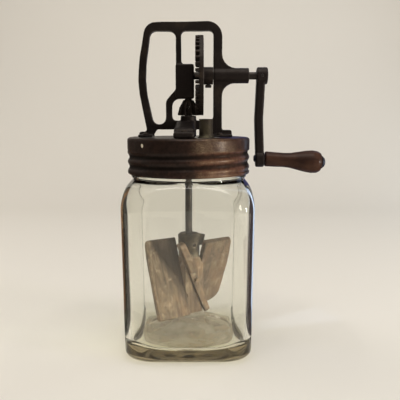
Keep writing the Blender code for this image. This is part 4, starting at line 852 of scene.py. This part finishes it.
def make_crank_shaft():
    steel = steel_finish("shaft_dark_steel", STEEL_GREY, STEEL_DARK)
    # The hub pin's end is painted near black, as the shade of the hole it sits in.
    rust = steel_finish("hub_pin_rust_and_shade", STEEL_DARK, PIN_RUST_AND_SHADE)
    for node, body in (("crank_shaft", "crank"), ("crank_pin", "crank"), ("gear_screw", "crank"),
                       ("dasher_shaft", "dasher"), ("pinion_pin", "dasher"), ("hub_pin", "dasher")):
        bar = clean_copy(node, f"steel_{node}", STEEL_EDGE, rust if node == "hub_pin" else steel)
        if node == "hub_pin":
            sink_pin(bar.data)
        hand_over(bar, body, "shaft_dark_steel", node)
    iron = iron_finish("gear_greasy_iron", 0.08, 0.7)
    gear = soft_copy("drive_gear", "cast_gear", GEAR_VOXEL, CRISP_PASSES, iron)
    dent(gear.data, SAND_DEPTH, SAND_SCALE)
    hand_over(gear, "crank", "frame_black_iron", "drive_gear")
    pinion = soft_copy("pinion_gear", "cast_pinion", PINION_VOXEL, CRISP_PASSES, iron)
    dent(pinion.data, SAND_DEPTH, SAND_SCALE)
    hand_over(pinion, "dasher", "frame_black_iron", "pinion_gear")


make_crank_shaft()


# The crank arm is a flat iron forging with a slight bend and a thick boss at each end. It is black like the
# frame, and brighter where the thumb rubs it.
ARM_VOXEL = 0.00042
ARM_PASSES = 6


def make_arm():
    iron = iron_finish("arm_black_iron", -0.05, 0.9)
    arm = soft_copy("crank_arm", "forged_arm", ARM_VOXEL, ARM_PASSES, iron)
    dent(arm.data, SAND_DEPTH, SAND_SCALE / 2)
    hand_over(arm, "crank", "frame_black_iron", "crank_arm")


make_arm()


# The grip is a pear-shaped turning in a reddish hardwood, dark with varnish and hands. It turns on a bolt
# whose blued head is hammered over a small washer at its end.
GRIP_LOW, GRIP_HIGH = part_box("handle_grip")
GRIP_VOXEL = 0.0005
GRIP_PASSES = 10
GRIP_DENT = 0.00018
GRIP_DENT_SCALE = 90.0
GRIP_RELIEF = 0.00010
BOLT_EDGE = 0.0002
ALONG_GRIP = (0.10, 1.0, 1.0)
FIBRE_STRETCH = (0.06, 1.0, 1.0)
WOOD_RED = (0.054, 0.021, 0.011, 1.0)
WOOD_DARK = (0.020, 0.0085, 0.0065, 1.0)
WOOD_PORE = (0.012, 0.006, 0.005, 1.0)
BOLT_BLUE = (0.10, 0.115, 0.16, 1.0)
BOLT_DARK = (0.022, 0.022, 0.030, 1.0)


def grip_finish():
    """Dark varnished wood: long grain, pores, and a coat worn dull in patches."""
    material, place = start_finish("grip_dark_wood")
    figure = grain(place, 120.0, 5.0, 0.6, ALONG_GRIP)
    fibre = grain(place, 900.0, 3.0, 0.6, FIBRE_STRETCH)
    cloud = grain(place, 40.0, 4.0)
    ends = 1 - place.parts()[0].within(GRIP_LOW.x + 0.004, GRIP_HIGH.x - 0.006, 0.006)
    worn = (cloud * 0.6 + figure * 0.5).step(0.40, 0.72)
    colour = blend_colours(worn * (1 - ends * 0.8), WOOD_DARK, WOOD_RED)
    colour = blend_colours(fibre.step(0.60, 0.72) * 0.7, colour, WOOD_PORE)
    return close_finish(material, {
        "Base Color": colour, "Roughness": 0.50 + cloud * 0.25, "Specular IOR Level": 0.15,
        "Specular Tint": LACQUER_TINT, "Coat Weight": 0.06 + worn * 0.14, "Coat Roughness": 0.28,
    }, figure * 0.5 + fibre * 0.5, GRIP_RELIEF)


def make_grip():
    wood = grip_finish()
    grip = soft_copy("handle_grip", "turned_grip", GRIP_VOXEL, GRIP_PASSES, wood)
    dent(grip.data, GRIP_DENT, GRIP_DENT_SCALE)
    hand_over(grip, "grip", "grip_dark_wood", "handle_grip")
    blued = steel_finish("bolt_blued_steel", BOLT_BLUE, BOLT_DARK)
    for node in ("handle_bolt", "handle_washer"):
        bolt = clean_copy(node, f"blued_{node}", BOLT_EDGE, blued)
        hand_over(bolt, "crank", "bolt_blued_steel", node)


make_grip()


# The dasher's hub is a grey metal cap on top of the wooden core, with a thin ear folded out of it. A pin
# through both holds them on the shaft.
HUB_GREY = (0.058, 0.043, 0.023, 1.0)
HUB_DARK = (0.020, 0.017, 0.013, 1.0)
HUB_CRUST = (0.26, 0.21, 0.14, 1.0)
CRUST_TOP = 0.1055
PIN_SINK = 0.0009
PIN_HOLE_SHADE = (0.0035, 0.0028, 0.0022, 1.0)
PIN_LOW, PIN_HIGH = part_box("hub_pin")
PIN_HEIGHT = (PIN_LOW.z + PIN_HIGH.z) / 2
PIN_RADIUS = (PIN_HIGH.z - PIN_LOW.z) / 2
HUB_VOXEL = 0.0004
HUB_DENT = 0.00018
HUB_DENT_SCALE = 220.0
HUB_RELIEF = 0.00025


def hub_finish():
    """Tarnished grey-green metal, browned in blotches, with dried cream round its lower tip and painted shade
    in the pin's hole.
    """
    material, place = start_finish("hub_grey_metal")
    x, y, height = place.parts()
    across = x * PIN_DIRECTION.y - y * PIN_DIRECTION.x
    above = height - PIN_HEIGHT
    from_pin = (across * across + above * above) ** 0.5
    blotch = grain(place, 130.0, 7.0, 0.7)
    fine = grain(place, 700.0, 5.0, 0.6)
    colour = blend_colours(blotch.step(0.38, 0.62), HUB_DARK, HUB_GREY)
    crust = (blotch * 0.5 + fine * 0.5).step(0.42, 0.56)
    crust = crust * (1 - height.step(CRUST_TOP - 0.003, CRUST_TOP + 0.002))
    colour = blend_colours(crust * 0.8, colour, HUB_CRUST)
    ring = from_pin.within(PIN_RADIUS * 1.3, PIN_RADIUS * 1.8, 0.0005)
    colour = blend_colours(ring * fine.step(0.3, 0.6) * 0.45, colour, HUB_CRUST)
    # Painted shade: the hub is coloured near black over the pin's hole.
    colour = blend_colours(1 - from_pin.step(PIN_RADIUS * 0.9, PIN_RADIUS * 1.15), colour, PIN_HOLE_SHADE)
    return close_finish(material, {
        "Base Color": colour, "Metallic": 0.15, "Roughness": 0.50 + blotch * 0.3,
        "Specular IOR Level": 0.3, "Specular Tint": LACQUER_TINT,
    }, blotch + fine * 0.5 + crust * 0.4, HUB_RELIEF)


def make_hub():
    hub = soft_copy("dasher_hub", "capped_hub", HUB_VOXEL, CRISP_PASSES, hub_finish())
    dent(hub.data, HUB_DENT, HUB_DENT_SCALE)
    for vertex in hub.data.vertices:
        aside = Vector((0, 0, vertex.co.z - PIN_HEIGHT))
        aside.x = vertex.co.x * PIN_DIRECTION.y - vertex.co.y * PIN_DIRECTION.x
        along = vertex.co.dot(PIN_DIRECTION)
        if along > 0:
            vertex.co -= PIN_DIRECTION * PIN_SINK * max(0.0, 1 - aside.length / (PIN_RADIUS * 1.5))
    hand_over(hub, "dasher", "hub_grey_metal", "dasher_hub")


make_hub()


# The core and its four boards are bare wood, bleached grey by years of washing. The boards slant in grooves
# in the core, their edges are worn round, and their grain stands up in fine ridges. The front one has lost
# the part of its lower half that stood proud of the core.
# The right board is painted in shade, and the left one carries a painted shadow of the front board.
BOARD_VOXEL = 0.0006
BOARD_PASSES = 5
BOARD_RELIEF = 0.00035
CORE_SEED = 9
CORE_AXES = (Vector((0, 0, 1)), Vector((1, 0, 0)), Vector((0, 1, 0)))
RIDGE_ALONG = 26
RIDGE_ACROSS = 420
CHIP_SCALE = 95
CHIP_START = 0.42
SEED_SHIFT = Vector((0.37, 0.11, 0.23))
RIDGE_DEPTH = 0.00022
CHIP_DEPTH = 0.0009
BREAK_PROUD = 0.0150
BREAK_HEIGHT = 0.0835
BREAK_RISE = 0.012
BREAK_REACH = 0.05
BOARD_NODES = ("paddle_right", "paddle_left", "paddle_front", "paddle_back")
WOOD_GREY = (0.195, 0.138, 0.082, 1.0)
WOOD_TAN = (0.200, 0.117, 0.060, 1.0)
# This dark colour serves the grain, and it is also the colour of the painted shade and shadow.
WOOD_DARK_AND_SHADE = (0.046, 0.029, 0.016, 1.0)
WOOD_PALE = (0.390, 0.305, 0.210, 1.0)
# Painted shade: the right board, and a little the front one, are darkened all over.
BOARD_PAINTED_SHADE = {"paddle_right": 0.42, "paddle_front": 0.06}
# A painted shadow of the front board on the left board, dark on the inner side of a slanting line.
PAINTED_SHADOW_PLACE = Vector((-0.0448, 0, 0.1225))
PAINTED_SHADOW_LEAN = 0.58
PAINTED_SHADOW_SOFT = 0.004
PAINTED_SHADOW_SHARE = 0.8


def board_finish():
    """Weathered wood whose pattern lies along each board's own grain, with each board's painted shade and
    shadow laid over it.
    """
    material, _ = start_finish("paddle_weathered_wood")
    tree = material.node_tree
    place = add_node(tree, "ShaderNodeAttribute", {"attribute_name": "board_place"}).output("Vector")
    painted_shade = add_node(tree, "ShaderNodeAttribute", {"attribute_name": "board_painted_shade"}).output("Fac")
    year_rings = grain(place, 150.0, 5.0, 0.6, (0.10, 1.0, 1.0))
    fibre = grain(place, 700.0, 4.0, 0.6, (0.07, 1.0, 1.0))
    cloud = grain(place, 38.0, 7.0, 0.7, (0.6, 1.0, 1.0))
    mottle = grain(place, 170.0, 7.0, 0.75, (0.5, 1.0, 1.0))
    colour = blend_colours(cloud.step(0.38, 0.62), WOOD_TAN, WOOD_GREY)
    colour = blend_colours(year_rings.step(0.46, 0.62) * 0.7, colour, WOOD_DARK_AND_SHADE)
    colour = blend_colours(mottle.step(0.46, 0.62) * 0.6, colour, WOOD_DARK_AND_SHADE)
    colour = blend_colours(fibre.step(0.50, 0.68) * 0.45, colour, WOOD_DARK_AND_SHADE)
    colour = blend_colours(grain(place, 110.0, 7.0, 0.75).step(0.52, 0.66) * 0.6, colour, WOOD_PALE)
    # Painted shade and painted shadow, as each board stores them.
    colour = blend_colours(painted_shade, colour, WOOD_DARK_AND_SHADE)
    return close_finish(material, {
        "Base Color": colour, "Roughness": 0.80 + cloud * 0.12,
    }, year_rings * 0.7 + fibre * 0.5 + mottle * 0.6, BOARD_RELIEF)


def board_axes(node):
    """The grain, across and thickness directions of a board, read from its longest edge and widest face."""
    build = open_build(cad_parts[node].data)
    bmesh.ops.dissolve_limit(build, angle_limit=0.01, verts=build.verts, edges=build.edges)
    build.normal_update()
    through = max(build.faces, key=lambda face: face.calc_area()).normal.copy()
    longest = max(build.edges, key=lambda edge: edge.calc_length())
    along = (longest.verts[1].co - longest.verts[0].co).normalized()
    build.free()
    along = (along - through * along.dot(through)).normalized()
    return along, through.cross(along), through


def painted_shade_at(node, place):
    """How much painted shade a board gets: on the left one a painted shadow, only on the inner side of a
    slanting line.
    """
    if node != "paddle_left":
        return BOARD_PAINTED_SHADE.get(node, 0.0)
    inward = place.x - PAINTED_SHADOW_PLACE.x - (PAINTED_SHADOW_PLACE.z - place.z) * PAINTED_SHADOW_LEAN
    return PAINTED_SHADOW_SHARE * min(1.0, max(0.0, 0.5 + inward / PAINTED_SHADOW_SOFT))


def weather(piece, axes, seed, node):
    """Store a board's painted shade, raise its grain along its own axes, and keep those places for its
    finish.
    """
    painted_shade_layer = piece.data.attributes.new("board_painted_shade", "FLOAT", "POINT")
    painted_shade_layer.data.foreach_set("value", [painted_shade_at(node, vertex.co) for vertex in piece.data.vertices])
    along, across, through = axes
    low, high = (Vector(corner) for corner in (piece.bound_box[0], piece.bound_box[6]))
    middle = (low + high) / 2
    normals = [vertex.normal.copy() for vertex in piece.data.vertices]
    shift = SEED_SHIFT * seed
    kept = piece.data.attributes.new("board_place", "FLOAT_VECTOR", "POINT")
    for index, vertex in enumerate(piece.data.vertices):
        aside = vertex.co - middle
        local = Vector((aside.dot(along), aside.dot(across), aside.dot(through)))
        kept.data[index].vector = local + shift
        drawn = Vector((local.x * RIDGE_ALONG, local.y * RIDGE_ACROSS, local.z * RIDGE_ACROSS))
        ridge = noise.noise(drawn + shift)
        bite = max(0.0, noise.noise((local + shift) * CHIP_SCALE) - CHIP_START)
        vertex.co += normals[index] * (RIDGE_DEPTH * ridge - CHIP_DEPTH * bite)


def make_break():
    """The block that the front board has lost: all that stands proud of the core below the break."""
    build = bmesh.new()
    bmesh.ops.create_cube(build, size=1.0)
    aside = Vector((-PIN_DIRECTION.y, PIN_DIRECTION.x, 0))
    for vertex in build.verts:
        outer = vertex.co.x > 0
        height = BREAK_HEIGHT + (BREAK_RISE if outer else 0) if vertex.co.z > 0 else 0
        reach_out = BREAK_REACH if outer else BREAK_PROUD
        sideways = 2 * BREAK_REACH * vertex.co.y
        vertex.co = PIN_DIRECTION * reach_out + aside * sideways + Vector((0, 0, height))
    block = bpy.data.objects.new("lost_wood", close_build(build, "lost_wood"))
    bpy.context.scene.collection.objects.link(block)
    return block


def make_boards():
    wood = board_finish()
    lost = make_break()
    for seed, node in enumerate(BOARD_NODES, start=1):
        cutter = lost if node == "paddle_front" else None
        board = soft_copy(node, f"worn_{node}", BOARD_VOXEL, BOARD_PASSES, wood, cutter)
        weather(board, board_axes(node), seed, node)
        hand_over(board, "dasher", "paddle_weathered_wood", node)
    bpy.data.objects.remove(lost)
    core = soft_copy("dasher_core", "worn_core", BOARD_VOXEL, CRISP_PASSES, wood)
    weather(core, CORE_AXES, CORE_SEED, "dasher_core")
    hand_over(core, "dasher", "paddle_weathered_wood", "dasher_core")
    for node in ("broad_dowel", "narrow_dowel"):
        refinish(node, wood)


make_boards()


# The churn stands on a plain pale floor that sweeps up behind it. A low window light comes from the right,
# and weaker ones from behind, above and the left. Curved cards beside it show only in glass and metal.
FLOOR_FRONT = -1.5
FLOOR_BACK = 0.9
SWEEP_RADIUS = 0.6
SWEEP_TOP = 1.5
FLOOR_WIDTH = 1.1
FLOOR_DROP = 0.0004
SWEEP_STEPS = 24
CARD_STEPS = 12
FLOOR_PALE = (0.80, 0.765, 0.70, 1.0)
ROOM_PALE = (0.90, 0.87, 0.81, 1.0)
ROOM_FRONT = (0.16, 0.145, 0.13, 1.0)
ROOM_SIDE = (0.05, 0.035, 0.025, 1.0)
CARD_RADIUS = 0.20
CARD_HEIGHT = 0.75
CARD_DARK = (0.012, 0.010, 0.008, 1.0)
CARD_AMBER = (0.16, 0.075, 0.030, 1.0)
CARD_PLUM = (0.060, 0.045, 0.055, 1.0)
CARD_SKY = (0.42, 0.52, 0.72, 1.0)
CARD_DUSK = (0.06, 0.06, 0.15, 1.0)
ROOM_LIGHT = (0.34, 0.325, 0.302, 1.0)
CARD_FOOT_RADIUS = 0.090
SEEN_THROUGH = (3.4, 3.6)
CARDS = (
    ("card_left_dark", -100, -76, CARD_DARK, 0.0, True),
    ("card_left_amber", -76, -62, CARD_AMBER, 0.0, True),
    ("card_left_far", -62, -46, CARD_DARK, 0.0, True),
    ("card_right_plum", 73, 100, CARD_PLUM, 0.0, True),
    ("card_right_sky", 58, 73, CARD_SKY, 1.0, True),
    ("card_right_far", 46, 58, CARD_DARK, 0.0, True),
    ("card_right_dusk", 12, 40, CARD_DUSK, 1.0, False),
)
WARM_WHITE = (1.0, 0.97, 0.93)
LAMPS = (
    ("window", (1.42, -0.60, 0.27), (0.20, 0.32), 16, WARM_WHITE),
    ("cool_window", (1.25, 0.95, 0.55), (0.30, 1.0), 3, (0.72, 0.84, 1.0)),
    ("overhead", (0.1, -0.35, 1.5), (0.9, 0.9), 10, WARM_WHITE),
    ("soft_left", (-1.3, 0.5, 0.9), (0.8, 1.2), 7, (1.0, 0.94, 0.86)),
)
CAMERA_PLACE = (0.0125, -0.58, 0.25)
CAMERA_PITCH = math.radians(81.4)
CAMERA_LENS = 47.52
LAMP_AIM = Vector((0, 0, 0.17))


def make_floor():
    profile = [(FLOOR_FRONT, -FLOOR_DROP), (FLOOR_BACK, -FLOOR_DROP)]
    for out, up in quarter_curve(SWEEP_STEPS)[1:]:
        profile.append((FLOOR_BACK + SWEEP_RADIUS * out, SWEEP_RADIUS * up - FLOOR_DROP))
    profile.append((FLOOR_BACK + SWEEP_RADIUS, SWEEP_TOP))
    build = bmesh.new()
    sides = (-FLOOR_WIDTH, FLOOR_WIDTH)
    left, right = ([build.verts.new((side, y, z)) for y, z in profile] for side in sides)
    for index in range(len(profile) - 1):
        build.faces.new((left[index], right[index], right[index + 1], left[index + 1]))
    material, _ = start_finish("floor_pale")
    close_finish(material, {"Base Color": FLOOR_PALE, "Roughness": 0.7})
    put_in_scene("floor", close_build(build, "floor"), material)


def make_room():
    """An even soft light, and the room that glass and metal show: pale behind, dark at the sides."""
    world = bpy.data.worlds.new("room")
    bpy.context.scene.world = world
    world.use_nodes = True
    tree = world.node_tree
    tree.nodes.clear()
    x, y, z = add_node(tree, "ShaderNodeTexCoord").output("Generated").parts()
    ahead = y.step(0.15, 0.45)
    aside = x.maths("ABSOLUTE", x).step(0.55, 0.8)
    colour = blend_colours(aside, ROOM_FRONT, ROOM_SIDE)
    colour = blend_colours(ahead, colour, ROOM_PALE)
    colour = blend_colours(z.step(0.55, 0.9) * 0.7, colour, ROOM_PALE)
    path = add_node(tree, "ShaderNodeLightPath")
    plain = path.output("Is Camera Ray") + path.output("Transmission Depth").step(*SEEN_THROUGH)
    colour = blend_colours(plain.maths("MINIMUM", plain, 1.0), colour, ROOM_PALE)
    light = add_node(tree, "ShaderNodeBackground", {}, {"Color": ROOM_LIGHT, "Strength": 1.0})
    seen = add_node(tree, "ShaderNodeBackground", {}, {"Color": colour, "Strength": 1.0})
    shown = path.output("Is Camera Ray") + path.output("Is Glossy Ray")
    shown = shown + path.output("Is Transmission Ray")
    mixed = add_node(tree, "ShaderNodeMixShader", {},
                     {0: shown.maths("MINIMUM", shown, 1.0), 1: light, 2: seen})
    add_node(tree, "ShaderNodeOutputWorld", {}, {"Surface": mixed})


def make_card(name, turn_from, turn_to, colour, glow, through_glass):
    """A curved card beside the set, which metal and the edges of glass show. Turns are from the back."""
    build = bmesh.new()
    rows = []
    for radius, height in ((CARD_FOOT_RADIUS, 0.0), (CARD_RADIUS, 0.0), (CARD_RADIUS, CARD_HEIGHT)):
        turns = spaced(math.radians(turn_from), math.radians(turn_to), CARD_STEPS)
        rows.append([build.verts.new((radius * math.sin(turn), radius * math.cos(turn), height))
                     for turn in turns])
    for low, high in zip(rows, rows[1:]):
        for index in range(len(low) - 1):
            build.faces.new((low[index], low[index + 1], high[index + 1], high[index]))
    material, _ = start_finish(name)
    tree = material.node_tree
    face = add_node(tree, "ShaderNodeBsdfPrincipled", {}, {
        "Base Color": colour, "Roughness": 0.9, "Emission Color": colour, "Emission Strength": glow,
    })
    deep = add_node(tree, "ShaderNodeLightPath").output("Transmission Depth").step(*SEEN_THROUGH)
    gone = add_node(tree, "ShaderNodeBsdfTransparent")
    mixed = add_node(tree, "ShaderNodeMixShader", {}, {0: deep, 1: face, 2: gone})
    add_node(tree, "ShaderNodeOutputMaterial", {}, {"Surface": mixed})
    card = put_in_scene(name, close_build(build, name), material)
    card.visible_camera = False
    card.visible_diffuse = False
    card.visible_shadow = False
    card.visible_transmission = through_glass


def make_lamp(name, place, size, power, colour):
    light = bpy.data.lights.new(name, "AREA")
    light.shape = "RECTANGLE"
    light.size, light.size_y = size
    light.energy = power
    light.color = colour
    lamp = bpy.data.objects.new(name, light)
    bpy.context.scene.collection.objects.link(lamp)
    lamp.location = place
    lamp.rotation_euler = (LAMP_AIM - Vector(place)).to_track_quat("-Z", "Y").to_euler()
    lamp.visible_camera = False


def make_camera():
    camera = bpy.data.cameras.new("camera")
    camera.sensor_width = 36
    camera.lens = CAMERA_LENS
    viewer = bpy.data.objects.new("camera", camera)
    viewer.location = CAMERA_PLACE
    viewer.rotation_euler = (CAMERA_PITCH, 0, 0)
    bpy.context.scene.collection.objects.link(viewer)
    bpy.context.scene.camera = viewer


make_floor()
make_room()
for card in CARDS:
    make_card(*card)
for lamp in LAMPS:
    make_lamp(*lamp)
make_camera()
bpy.context.scene.view_settings.view_transform = "Standard"
